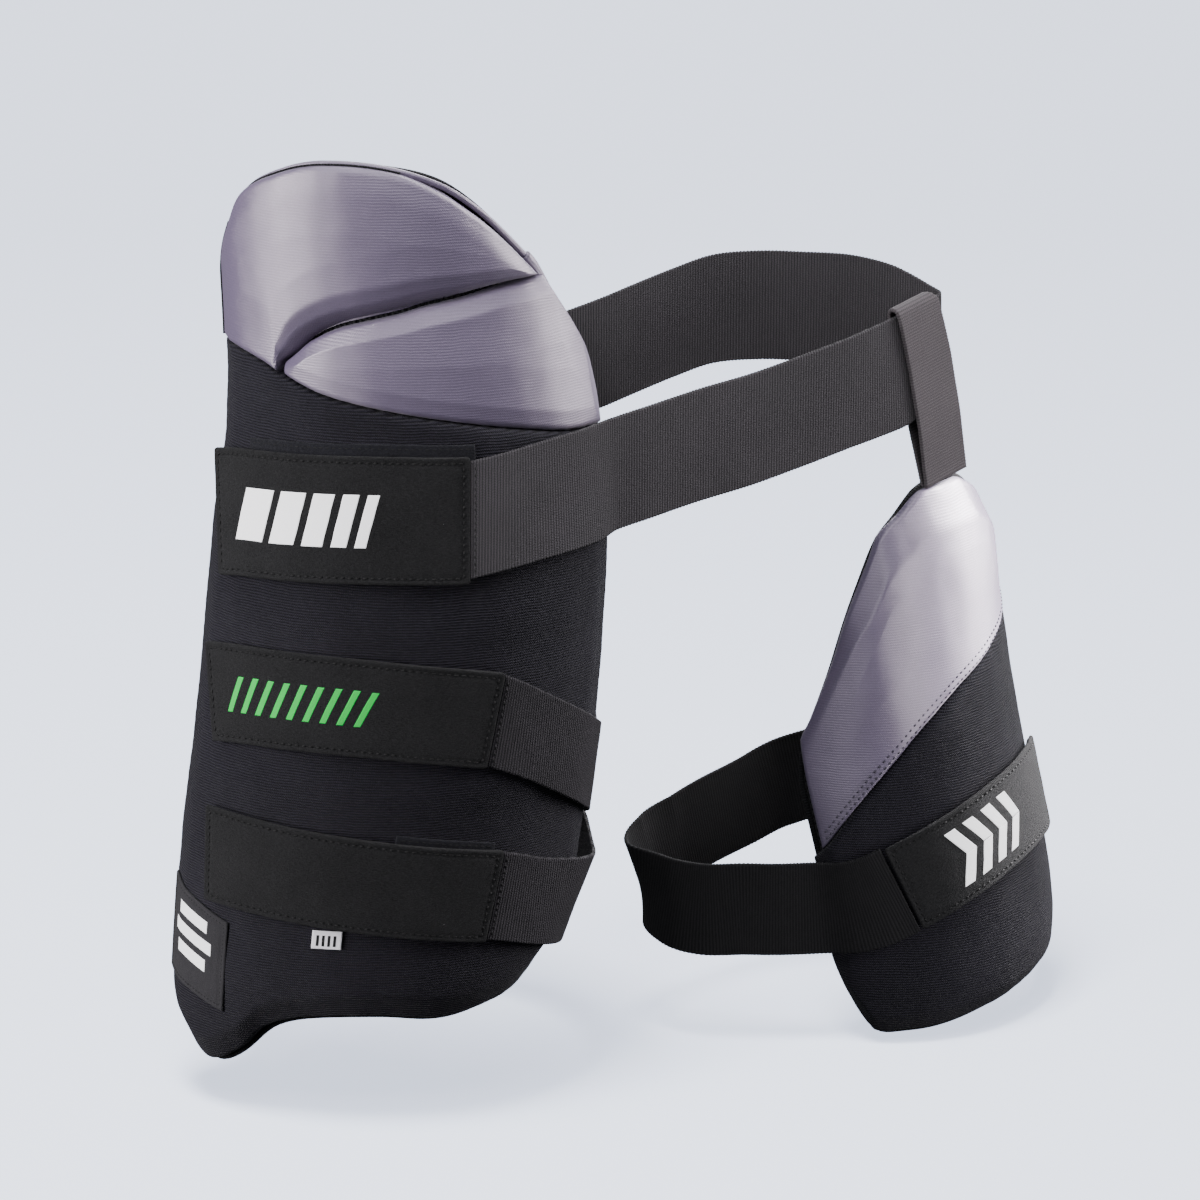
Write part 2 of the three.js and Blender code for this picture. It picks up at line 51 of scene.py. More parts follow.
# Share of the height, centre in x, half width, centre in y
OUTER_SECTIONS = [
    [0, -100, 86, 3], [0.233, -90.5, 87.5, 0], [0.403, -81.5, 87, -1], [0.609, -74.5, 84.5, 0],
    [0.706, -73, 80, 1], [0.85, -78, 75, 4], [1, -84, 74, 9],
]

# Inner leg: as above, with its radius, its centre in y and the turn of the guard's middle
INNER_BASE = -305
INNER_TALL = 253
INNER_RADIUS = 80
INNER_CENTRE_Y = 96
INNER_MIDDLE = 40
INNER_WRAP = 60
# Share of the height, centre in x
INNER_SECTIONS = [
    [0, 138], [0.1, 137], [0.237, 134], [0.494, 119.5], [0.731, 109], [0.85, 105], [1, 100],
]

# Walls and straps
OUTER_FOAM = 12
INNER_FOAM = 10
LINING = 2.6
GAP = 0.3
LINING_GAP = 0.9
RIM = 1.2
PATCH = 0.8
TAB = 2.8
ELASTIC = 1.8
# Height of the underside of tabs and straps over a pad
ON_PAD = GAP + PATCH + 2.5 * GAP
WAIST_TAB_WIDE = 54
WAIST_WIDE = 50
THIGH_TAB_WIDE = 43
THIGH_WIDE = 41
INNER_TAB_WIDE = 43
INNER_WIDE = 44
HANGER_WIDE = 26
SEAM_GAP = 0.5
GROOVE_GAP = 1.4

# Outlines of the outer guard: share of the half wrap, share of the height
OUTER_TOP = [
    [-1, 0.868], [-0.93, 0.893], [-0.849, 0.916], [-0.717, 0.952], [-0.458, 0.979], [-0.262, 0.988],
    [-0.006, 0.985], [0.239, 0.967], [0.406, 0.941], [0.588, 0.901], [0.718, 0.868], [0.883, 0.807],
    [0.96, 0.762], [1, 0.712],
]
OUTER_BOTTOM = [
    [-1, 0.098], [-0.93, 0.06], [-0.813, 0.028], [-0.668, 0.01], [-0.508, 0.032], [-0.4, 0.062],
    [-0.236, 0.079], [0.069, 0.084], [0.303, 0.077], [0.47, 0.082], [0.66, 0.098], [0.824, 0.137],
    [0.94, 0.172], [1, 0.212],
]
OUTER_SEAM = [
    [-1, 0.792], [-0.89, 0.789], [-0.733, 0.784], [-0.628, 0.778], [-0.491, 0.765], [-0.372, 0.755],
    [-0.225, 0.747], [0.002, 0.737], [0.23, 0.727], [0.472, 0.716], [0.724, 0.705], [1, 0.7],
]
OUTER_GROOVE = [
    [-0.56, 0.78], [-0.484, 0.793], [-0.401, 0.808], [-0.282, 0.821], [-0.136, 0.83], [0.012, 0.838],
    [0.123, 0.845], [0.293, 0.852], [0.474, 0.86], [0.7, 0.866],
]
GROOVE_FROM = -0.56
GROOVE_TO = 0.68

# Outlines of the inner guard: share of the half wrap from its middle, share of the height
INNER_TOP = [
    [-1.03, 0.475], [-0.98, 0.54], [-0.86, 0.605], [-0.7, 0.698], [-0.547, 0.8], [-0.393, 0.888],
    [-0.315, 0.93], [-0.173, 0.962], [-0.053, 0.988], [0.03, 0.998], [0.37, 0.998], [0.46, 0.988],
    [0.667, 0.957], [0.833, 0.925], [1, 0.84],
]
INNER_BOTTOM = [
    [-1.03, 0.17], [-1, 0.135], [-0.955, 0.098], [-0.908, 0.066], [-0.813, 0.022], [-0.76, 0],
    [-0.6, 0.002], [-0.43, 0.005], [-0.27, 0.012], [-0.09, 0.022], [0.2, 0.036], [0.55, 0.05],
    [0.85, 0.085], [1, 0.15],
]
INNER_SEAM = [
    [-1.03, 0.33], [-0.908, 0.362], [-0.777, 0.408], [-0.608, 0.465], [-0.41, 0.526],
    [-0.207, 0.583], [0.027, 0.632], [0.3, 0.668], [0.55, 0.692], [1, 0.73],
]
INNER_LEFT = -1.03
INNER_PANEL_LEFT = -0.955

# Offsets of the straps from the leg surface: behind the thigh, and inside the guard
BACK_STEP = -7
BACK_INSIDE = -OUTER_FOAM - LINING_GAP - LINING - 0.9 - ELASTIC

# Strap centre lines on the guards: degrees of turn, height, offset from the surface, lean in x
WAIST_TAB_LINE = [[-59, -38.2], [-50, -35.5], [-30, -33], [-7, -31.4], [16, -32.1]]
WAIST_TAB_END = 16
UPPER_TAB_LINE = [[-55, -116.2], [-42, -113], [-11.5, -112.2], [14.8, -117], [26.2, -120.6]]
UPPER_TAB_END = 26.2
UPPER_LINE = [
    [26.2, -120.6, ON_PAD], [34, -126.5, ON_PAD], [42.6, -134.1, ON_PAD], [58, -148, ON_PAD],
    [66, -155, -0.2], [70.5, -158, -1.6], [77, -162, -6.5], [90, -163, -9],
    [120, -158, BACK_STEP - 2], [180, -140, BACK_STEP], [240, -124, BACK_STEP],
    [270, -119, BACK_INSIDE - 2], [285, -118, BACK_INSIDE], [300, -117, BACK_INSIDE],
]
LOWER_TAB_LINE = [[-49, -187], [-35, -187.4], [-6.2, -191.9], [20.5, -198.4], [32, -201.8]]
LOWER_TAB_END = 32
LOWER_LINE = [
    [32, -201.8, ON_PAD, 0], [39, -205, ON_PAD, 0], [46.3, -209.2, ON_PAD, 0], [56, -213.5, 1.8, 0.05],
    [63, -216, 1.2, 0.16], [70, -217, -1.3, 0.28], [77, -217, -6.2, 0.3], [92, -215, -9, 0.2],
    [120, -210, BACK_STEP, 0.1], [180, -200, BACK_STEP, 0], [240, -192, BACK_STEP, 0],
    [270, -190, BACK_INSIDE - 2, 0], [285, -189, BACK_INSIDE, 0], [300, -188, BACK_INSIDE, 0],
]

# Waist strap away from the guard: x, y, z of its centre line, lean of its width in x and y
HANGER_LEAN = [-0.04, 0.105]
WAIST_FREE = [
    [12.4, -31.5, -24.6], [27.3, -22, -22.1], [48.8, -9, -18.3], [70.5, 2, -14.8], [92.4, 13, -9.8],
    [114.6, 25, -4.5], [136.5, 40.4, 0.5, *HANGER_LEAN], [142.5, 45.8, 2.2, *HANGER_LEAN],
    [148.5, 51.2, 3.8, *HANGER_LEAN], [152, 54.4, 4.8, *HANGER_LEAN],
    [154.8, 56.9, 5.6, *HANGER_LEAN], [156, 59.3, 6.2, *HANGER_LEAN], [154.8, 62.2, 6.9],
    [150.6, 66.3, 8.6], [143, 71.5, 12], [134.3, 76, 15.2], [117.2, 85, 17.4], [95.3, 92, 17.1],
    [77.5, 94, 17.1], [56.5, 92, 15.8], [39.4, 86, 11.3], [22, 76, 6.6], [5.1, 66, 1.9],
    [-25, 54, -6], [-60, 42, -14], [-92, 27, -22], [-114, 10, -29],
]
WAIST_INSIDE = [[-82, -37], [-70, -39], [-58, -40]]
WAIST_ON_GUARD = [[WAIST_TAB_END, -32.1, ON_PAD], [38, -27, ON_PAD], [58, -25.5, ON_PAD]]

# Inner strap: degrees of turn and height on the guard, then x, y, z away from it
INNER_TAB_LINE = [[6.8, -231.5], [24.2, -220.9], [46.4, -210.2], [67.8, -205.4], [84, -206]]
INNER_ON_PAD = [[6.2, -231.8], [-2, -237], [-10.5, -240.7], [-20, -242.4]]
INNER_FREE = [
    [85, 18, -243], [71, 18.5, -243], [51, 21, -244], [36, 27, -242, -0.12], [24, 40, -237, -0.3],
    [29, 55, -232, -0.12], [42, 67, -227], [56, 78, -222.5], [73, 90, -218], [87, 98, -213],
    [104, 104, -209], [135, 119, -205], [165, 131, -203], [187, 129, -203],
]
INNER_INSIDE = [[103, -204], [92, -205], [80, -206]]

# Hanger strap, a folded loop over the waist strap: its middle at the waist strap, its drop from there, its
# shift along the waist strap at the foot, how far its back layer is cut back, half of the distance between
# its layers at the waist strap and at the foot, and the direction of its width
HANGER_TOP = [148.5, 51.2, 3.8]
HANGER_DROP = 55.2
HANGER_SHIFT = -3
HANGER_BACK_NOTCH = 8
HANGER_SPREAD = 3
HANGER_FOOT_SPREAD = 1.15
HANGER_ALONG = [0.74, 0.67, 0.2]
HANGER_FOLD_STEPS = 6
HANGER_RINGS = 300

# Length over which a strap turns from square to its tab's end into its own course
SQUARE_EASE = 22
# Share of a curve over which its direction is measured
TINY = 1e-4
# Height of the small teeth along the edges of an elastic
TOOTH = 0.16


def unit(v):
    """Vectors of length 1."""
    v = np.asarray(v, float)
    return v / np.maximum(np.linalg.norm(v, axis=-1, keepdims=True), 1e-12)


def curve(rows, column=1):
    """Smooth function through rows of [share, value, ...]."""
    x = np.array([row[0] for row in rows], float)
    y = np.array([row[column] for row in rows], float)
    order = np.arange(len(x))
    before = np.maximum(order - 1, 0)
    after = np.minimum(order + 1, len(x) - 1)
    slope = (y[after] - y[before]) / (x[after] - x[before])

    def value(at):
        at = np.clip(np.asarray(at, float), x[0], x[-1])
        i = np.clip(np.searchsorted(x, at, side="right") - 1, 0, len(x) - 2)
        span = x[i + 1] - x[i]
        t = (at - x[i]) / span
        p = y[i]
        q = y[i + 1]
        m = slope[i] * span
        n = slope[i + 1] * span
        return p + m * t + (3 * (q - p) - 2 * m - n) * t ** 2 + (m + n - 2 * (q - p)) * t ** 3

    return value


outer_x = curve(OUTER_SECTIONS, 1)
outer_half = curve(OUTER_SECTIONS, 2)
outer_y = curve(OUTER_SECTIONS, 3)
inner_x = curve(INNER_SECTIONS, 1)


def outer_leg(turn, z, out):
    """Point of the outer leg: turn in degrees from the front, height, distance outward."""
    turn, z, out = np.broadcast_arrays(np.asarray(turn, float), z, out)
    share = (z - OUTER_BASE) / OUTER_TALL
    across = (outer_half(share) + OUTER_EXTRA) / math.sin(math.radians(OUTER_WRAP))
    deep = OUTER_DEPTH * outer_half(share) / OUTER_HALF
    s = np.sin(np.radians(turn))
    c = np.cos(np.radians(turn))
    normal = unit(np.stack([s / across, -c / deep, 0 * s], -1))
    point = np.stack([outer_x(share) + across * s, outer_y(share) - deep * c, z + 0 * s], -1)
    return point + normal * out[..., None]


def inner_leg(turn, z, out):
    """Point of the inner leg."""
    turn, z, out = np.broadcast_arrays(np.asarray(turn, float), z, out)
    share = (z - INNER_BASE) / INNER_TALL
    r = INNER_RADIUS + out
    s = np.sin(np.radians(turn))
    c = np.cos(np.radians(turn))
    return np.stack([inner_x(share) + r * s, INNER_CENTRE_Y - r * c, z + 0 * s], -1)


def outer_at(table, shift=0.0):
    """Height of an outline of the outer guard as a function of the turn."""
    f = curve(table)

    def height(turn):
        share = np.asarray(turn, float) / OUTER_WRAP
        return OUTER_BASE + OUTER_TALL * f(share) + shift

    return height


def inner_at(table, shift=0.0):
    """Height of an outline of the inner guard as a function of the turn."""
    f = curve(table)

    def height(turn):
        share = (np.asarray(turn, float) - INNER_MIDDLE) / INNER_WRAP
        return INNER_BASE + INNER_TALL * f(share) + shift

    return height


def spline(points, t):
    """Points at shares t of a smooth curve through the given points, with centripetal spacing."""
    points = np.asarray(points, float)
    last = len(points) - 1
    u = np.clip(np.asarray(t, float), 0, 1) * last
    i = np.minimum(u.astype(int), last - 1)
    w = (u - i)[:, None]
    padded = np.vstack([2 * points[0] - points[1], points, 2 * points[-1] - points[-2]])
    p0 = padded[i]
    p1 = padded[i + 1]
    p2 = padded[i + 2]
    p3 = padded[i + 3]
    d0 = np.sqrt(np.linalg.norm(p1 - p0, axis=1))[:, None]
    d1 = np.sqrt(np.linalg.norm(p2 - p1, axis=1))[:, None]
    d2 = np.sqrt(np.linalg.norm(p3 - p2, axis=1))[:, None]
    a = ((p1 - p0) / d0 - (p2 - p0) / (d0 + d1) + (p2 - p1) / d1) * d1
    b = ((p2 - p1) / d1 - (p3 - p1) / (d1 + d2) + (p3 - p2) / d2) * d1
    return p1 + a * w + (-3 * p1 + 3 * p2 - 2 * a - b) * w ** 2 + (2 * p1 - 2 * p2 + a + b) * w ** 3


class Band:
    """A strap's course: its middle line, width direction and outward direction, by length along it."""

    def __init__(self, middle, up, out):
        self.middle = middle
        self.up = up
        self.out = out
        steps = np.linalg.norm(np.diff(middle, axis=0), axis=1)
        self.s = np.concatenate([[0], np.cumsum(steps)])
        self.length = self.s[-1]

    def place(self, s, w, h):
        """Point at length s, distance w across from the middle and height h over the middle layer."""
        s, w, h = np.broadcast_arrays(np.asarray(s, float), w, h)
        flat = s.ravel()

        def take(values):
            found = [np.interp(flat, self.s, values[:, k]) for k in range(3)]
            return np.stack(found, -1).reshape(s.shape + (3,))

        up = unit(take(self.up))
        out = unit(take(self.out))
        return take(self.middle) + up * w[..., None] + out * h[..., None]


def leg_stop(leg, turn, z, out):
    """Stop of a strap on a leg surface, its width lying in the surface."""
    up = unit(leg(turn, z + 15, out) - leg(turn, z - 15, out))
    return leg(turn, z, out), up


def free_stop(row):
    """Stop of a strap in the air."""
    lean = list(row[3:5]) + [0, 0]
    return np.array(row[:3], float), np.array([lean[0], lean[1], 1.0])


def line_stops(leg, rows, start, end, step, out):
    """Stops every few degrees along a centre line on a leg."""
    height = curve(rows, 1)
    offset = curve(rows, 2) if len(rows[0]) > 2 else (lambda turn: 0.0)
    lean = curve(rows, 3) if len(rows[0]) > 3 else (lambda turn: 0.0)
    count = max(2, round(abs(end - start) / step))
    stops = []
    for i in range(count + 1):
        turn = start + (end - start) * i / count
        at, up = leg_stop(leg, turn, float(height(turn)), float(offset(turn)) + out)
        up = up + np.array([float(lean(turn)), 0, 0])
        stops.append((at, up))
    return stops


def course(stops, count, square=None):
    """Band through the stops. With a direction square, the first end lies square to it."""
    at = np.array([stop[0] for stop in stops])
    ups = np.array([stop[1] for stop in stops])
    t = np.linspace(0, 1, count + 1)
    middle = spline(at, t)
    along = unit(spline(at, np.minimum(t + TINY, 1)) - spline(at, np.maximum(t - TINY, 0)))
    u = t * (len(stops) - 1)
    i = np.minimum(u.astype(int), len(stops) - 2)
    w = (u - i)[:, None]
    up = unit(ups[i] * (1 - w) + ups[i + 1] * w)
    if square is None:
        up = unit(up - along * np.sum(up * along, -1, keepdims=True))
    else:
        near = np.maximum(0, 1 - np.linalg.norm(middle - at[0], axis=1) / SQUARE_EASE)[:, None]
        first = unit(up - square * np.sum(up * square, -1, keepdims=True))
        along = unit(along + (square - along) * near)
        up = unit(up + (first - up) * near)
    out = unit(np.cross(along, up))
    return Band(middle, up, out)


def end_direction(stops):
    """Direction of the curve through the stops at its last end."""
    at = np.array([stop[0] for stop in stops])
    ends = spline(at, np.array([1 - TINY, 1.0]))
    return unit(ends[1] - ends[0])


# Mesh making


def build(name, points, faces, uv, paint, nodes=()):
    """Object from points in millimetres, with its cloth coordinates in metres, riding on the frame."""
    mesh = bpy.data.meshes.new(name)
    mesh.from_pydata((np.asarray(points, float) * MM).tolist(), [], faces)
    layer = mesh.uv_layers.new(name="cloth")
    corner = np.empty(len(mesh.loops), np.int32)
    mesh.loops.foreach_get("vertex_index", corner)
    layer.data.foreach_set("uv", (np.asarray(uv, float)[corner] * MM).astype(np.float32).ravel())
    mesh.polygons.foreach_set("use_smooth", [True] * len(mesh.polygons))
    mesh.validate()
    mesh.update()
    piece = bpy.data.objects.new(name, mesh)
    bpy.context.scene.collection.objects.link(piece)
    piece.data.materials.append(paint)
    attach(piece, "root")
    if nodes:
        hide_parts(*nodes)
    return piece


def closed(front, back, wall):
    """Points and faces of a closed shell between two grids [column, row], with rows of wall points."""
    columns, rows = front.shape[:2]
    half = columns * rows
    grid = np.arange(half).reshape(columns, rows)
    faces = []
    a = grid[:-1, :-1].ravel()
    b = grid[1:, :-1].ravel()
    c = grid[1:, 1:].ravel()
    d = grid[:-1, 1:].ravel()
    faces += np.stack([a, b, c, d], 1).tolist()
    faces += (np.stack([a, d, c, b], 1) + half).tolist()
    rim = np.concatenate([grid[:-1, 0], grid[-1, :-1], grid[:0:-1, -1], grid[0, :0:-1]])
    flat_front = front.reshape(-1, 3)
    flat_back = back.reshape(-1, 3)
    points = [flat_front, flat_back]
    rings = [rim]
    for k in range(wall):
        share = (k + 1) / (wall + 1)
        points.append(flat_front[rim] * (1 - share) + flat_back[rim] * share)
        rings.append(np.arange(len(rim)) + 2 * half + k * len(rim))
    rings.append(rim + half)
    for near, far in zip(rings[:-1], rings[1:]):
        faces += np.stack([far, np.roll(far, -1), np.roll(near, -1), near], 1).tolist()
    return np.vstack(points), faces, rim


def roll(d, r):
    """Drop of a rounded edge of radius r at distance d from the edge."""
    d = np.clip(d, 0, r)
    return r - np.sqrt(np.maximum(0, r * r - (r - d) ** 2))


def ramp(d, width, drop, ease=0.14):
    """Drop of a sloped edge; ease rounds its ridge."""
    x = 1 - d / width
    soft = (x + ease) ** 2 / (4 * ease)
    return drop * np.where(x < -ease, 0, np.where(x > ease, x, soft))


def slope(d, bevel, ease):
    """Drop of an edge with one or more slopes, given as width, drop, width, drop."""
    return sum(ramp(d, width, drop, ease) for width, drop in zip(bevel[::2], bevel[1::2]))


def most(*values):
    """The largest of several drops, rounded a little where two meet."""
    power = 7
    total = sum(np.maximum(v, 0) ** power for v in values)
    return total ** (1 / power)


# Distances from an edge at which a mesh has its first rows
EDGE_STEPS = np.array([0, 0.25, 0.6, 1.1, 1.8, 2.6])


def spread(low, high, count):
    """Values between two ends, close together near the ends. Takes arrays of ends."""
    low = np.atleast_1d(np.asarray(low, float))[:, None]
    high = np.atleast_1d(np.asarray(high, float))[:, None]
    k = np.minimum(1, 0.3 * (high - low) / EDGE_STEPS[-1])
    first = low + EDGE_STEPS[None, :] * k
    last = high - EDGE_STEPS[None, ::-1] * k
    inner = first[:, -1:] + (last[:, :1] - first[:, -1:]) * np.linspace(0, 1, count + 2)[None, 1:-1]
    return np.concatenate([first, inner, last], 1)


def pad(name, leg, shape, paint, nodes=()):
    """Padded piece on a leg surface.

    The shape gives its edges, the offsets of its face and back, the bevel of each edge as widths and drops,
    a cut(u, z) that is one more bevel, a relief(turn, z, edge) that is added height, and under(turn, z), by
    which all of it lies deeper.
    """
    per_degree = shape["radius"] * math.pi / 180
    turns = spread(shape["left"], shape["right"], shape["columns"])[0]
    low = shape["bottom"](turns)
    high = shape["top"](turns)
    heights = spread(low, high, shape["rows"])
    turn = np.repeat(turns[:, None], heights.shape[1], 1)
    to_left = (turn - shape["left"]) * per_degree
    to_right = (shape["right"] - turn) * per_degree
    to_low = heights - low[:, None]
    to_high = high[:, None] - heights
    bevel = shape["bevel"]
    ease = shape.get("ease", 0.14)
    drop = most(
        slope(to_left, bevel["left"], ease), slope(to_right, bevel["right"], ease),
        slope(to_low, bevel["bottom"], ease), slope(to_high, bevel["top"], ease),
    )
    if "cut" in shape:
        drop = most(drop, shape["cut"](turn * per_degree, heights))
    edge = np.minimum(np.minimum(to_left, to_right), np.minimum(to_low, to_high))
    radius = shape.get("edge", 1.6)
    wall = shape.get("wall", 3)
    under = shape["under"](turn, heights) if "under" in shape else 0 * turn
    relief = shape["relief"](turn, heights, edge) if "relief" in shape else 0 * turn
    front = leg(turn, heights, shape["face"] - drop - under - roll(edge, radius) + relief)
    back = leg(turn, heights, shape["back"] - under + roll(edge, min(radius, 0.8)))
    points, faces, rim = closed(front, back, wall)
    flat = np.stack([turn.ravel() * per_degree, heights.ravel()], 1)
    uv = np.vstack([flat, flat] + [flat[rim]] * wall)
    return build(name, points, faces, uv, paint, nodes)


def plate(name, band, s_range, w_range, h_range, paint, slot, nodes=(), **shape):
    """Plate of cloth on a band: its range of lengths along it, of widths across it and of heights."""
    s0, s1 = s_range
    w0, w1 = w_range
    corner = shape.get("corner", 0.0)
    edge_radius = shape.get("edge", 0.7)
    count = shape.get("columns", max(6, int((s1 - s0) / shape.get("pitch", 2.0))))
    rows = shape.get("rows", max(4, int((w1 - w0) / 3)))
    angle = np.linspace(0, math.pi / 2, 7)
    ends = corner * (1 - np.cos(angle)) if corner > 0 else EDGE_STEPS[:4] * min(1, (s1 - s0) / 6)
    inner = np.linspace(ends[-1], s1 - s0 - ends[-1], count + 1)
    along = np.concatenate([ends[:-1], inner, (s1 - s0 - ends[:-1])[::-1]])
    to_end = np.minimum(along, s1 - s0 - along)
    inset = roll(to_end, corner) if corner > 0 else 0 * along
    wave = shape.get("wave", 0.0) * np.where(np.arange(len(along)) % 2 == 0, 1, -1)
    low = w0 + inset + wave
    high = w1 - inset - wave
    across = spread(low, high, rows)
    s = np.repeat((s0 + along)[:, None], across.shape[1], 1)
    to_side = np.minimum(across - low[:, None], high[:, None] - across)
    edge = np.minimum(to_side, np.repeat(to_end[:, None], across.shape[1], 1))
    relief = shape["relief"](s, across, edge) if "relief" in shape else 0 * s
    slant = shape.get("slant", 0.0) * across
    front = band.place(s + slant, across, h_range[1] - roll(edge, edge_radius) + relief)
    back = band.place(s + slant, across, h_range[0] + roll(edge, min(edge_radius, 0.4)))
    points, faces, rim = closed(front, back, 1)
    flat = np.stack([s.ravel(), across.ravel()], 1)
    build(name, points, faces, np.vstack([flat, flat, flat[rim]]), paint, nodes)


def lengths(path):
    """Length along a polyline at each of its points."""
    return np.concatenate([[0], np.cumsum(np.linalg.norm(np.diff(path, axis=0), axis=1))])


def values_at(values, runs, s):
    """Values between the points of a polyline, at lengths s along it."""
    return np.stack([np.interp(s, runs, column) for column in values.T], -1)


def dense(path, step):
    """Points evenly along a polyline, about step apart."""
    path = np.asarray(path, float)
    runs = lengths(path)
    count = max(2, int(round(runs[-1] / step)))
    return values_at(path, runs, np.linspace(0, runs[-1], count + 1))


# Rings of a stitch: share of its length, share of its thickness, lift in thicknesses
STITCH_RINGS = [
    [-0.5, 0.35, -1.1], [-0.42, 0.85, -0.35], [-0.22, 1, 0.25], [0.0, 1, 0.4], [0.22, 1, 0.25],
    [0.42, 0.85, -0.35], [0.5, 0.35, -1.1],
]
# Share of the thickness by which a stitch lies in the cloth
STITCH_SUNK = 0.25


def stitches(name, rows, paint, pitch, length, thick):
    """Rows of thread stitches. Each row is (points, normals) along a sewn line."""
    rings = np.array(STITCH_RINGS)
    sides = 6
    turn = np.arange(sides) * 2 * math.pi / sides
    model = []
    for x, r, lift in rings:
        for a in turn:
            model.append([x * length, math.cos(a) * thick * r, math.sin(a) * thick * r + lift * thick])
    model = np.array(model)
    per = len(model)
    model_faces = []
    for k in range(len(rings) - 1):
        for j in range(sides):
            a = k * sides + j
            b = k * sides + (j + 1) % sides
            model_faces.append([a, b, b + sides, a + sides])
    model_faces.append(list(range(sides))[::-1])
    model_faces.append([(len(rings) - 1) * sides + j for j in range(sides)])
    points = []
    faces = []
    for path, normals in rows:
        path = np.asarray(path, float)
        runs = lengths(path)
        count = max(1, int(runs[-1] / pitch))
        gap = runs[-1] / count
        mid = (np.arange(count) + 0.5) * gap
        centre = values_at(path, runs, mid)
        along = unit(values_at(path, runs, mid + 0.3) - values_at(path, runs, mid - 0.3))
        normal = unit(values_at(np.asarray(normals, float), runs, mid))
        side = unit(np.cross(normal, along))
        normal = np.cross(along, side)
        for i in range(count):
            first = len(points) * per
            points.append(
                centre[i] + model[:, :1] * along[i] + model[:, 1:2] * side[i]
                + (model[:, 2:] - STITCH_SUNK * thick) * normal[i]
            )
            faces += [[first + k for k in face] for face in model_faces]
    points = np.vstack(points)
    build(name, points, faces, points[:, [0, 2]], paint)


def tube(name, path, normals, wide, high, paint, closed_loop=False, sides=12, squarish=0.0):
    """Rounded edging along a path; wide lies square to the normal and high along it."""
    path = np.asarray(path, float)
    normals = unit(normals)
    if closed_loop:
        along = unit(np.roll(path, -1, 0) - np.roll(path, 1, 0))
    else:
        along = unit(np.gradient(path, axis=0))
    side = unit(np.cross(normals, along))
    normals = np.cross(along, side)
    turn = np.arange(sides) * 2 * math.pi / sides
    c = np.cos(turn)
    s = np.sin(turn)
    if squarish:
        c = np.sign(c) * np.abs(c) ** (1 - squarish)
        s = np.sign(s) * np.abs(s) ** (1 - squarish)
    points = (
        path[:, None, :] + side[:, None, :] * (c * wide / 2)[None, :, None]
        + normals[:, None, :] * (s * high / 2)[None, :, None]
    )
    rings = len(path)
    grid = np.arange(rings * sides).reshape(rings, sides)
    faces = []
    last = rings if closed_loop else rings - 1
    for k in range(last):
        a = grid[k]
        b = grid[(k + 1) % rings]
        faces += np.stack([a, np.roll(a, -1), np.roll(b, -1), b], 1).tolist()
    if not closed_loop:
        faces.append(grid[0][::-1].tolist())
        faces.append(grid[-1].tolist())
    around = np.arange(sides) * (wide + high) * math.pi / 2 / sides
    uv = np.stack([np.repeat(lengths(path), sides), np.tile(around, rings)], 1)
    build(name, points.reshape(-1, 3), faces, uv, paint)


# Materials: every pattern is worked out from the cloth coordinates, in metres, or from the place


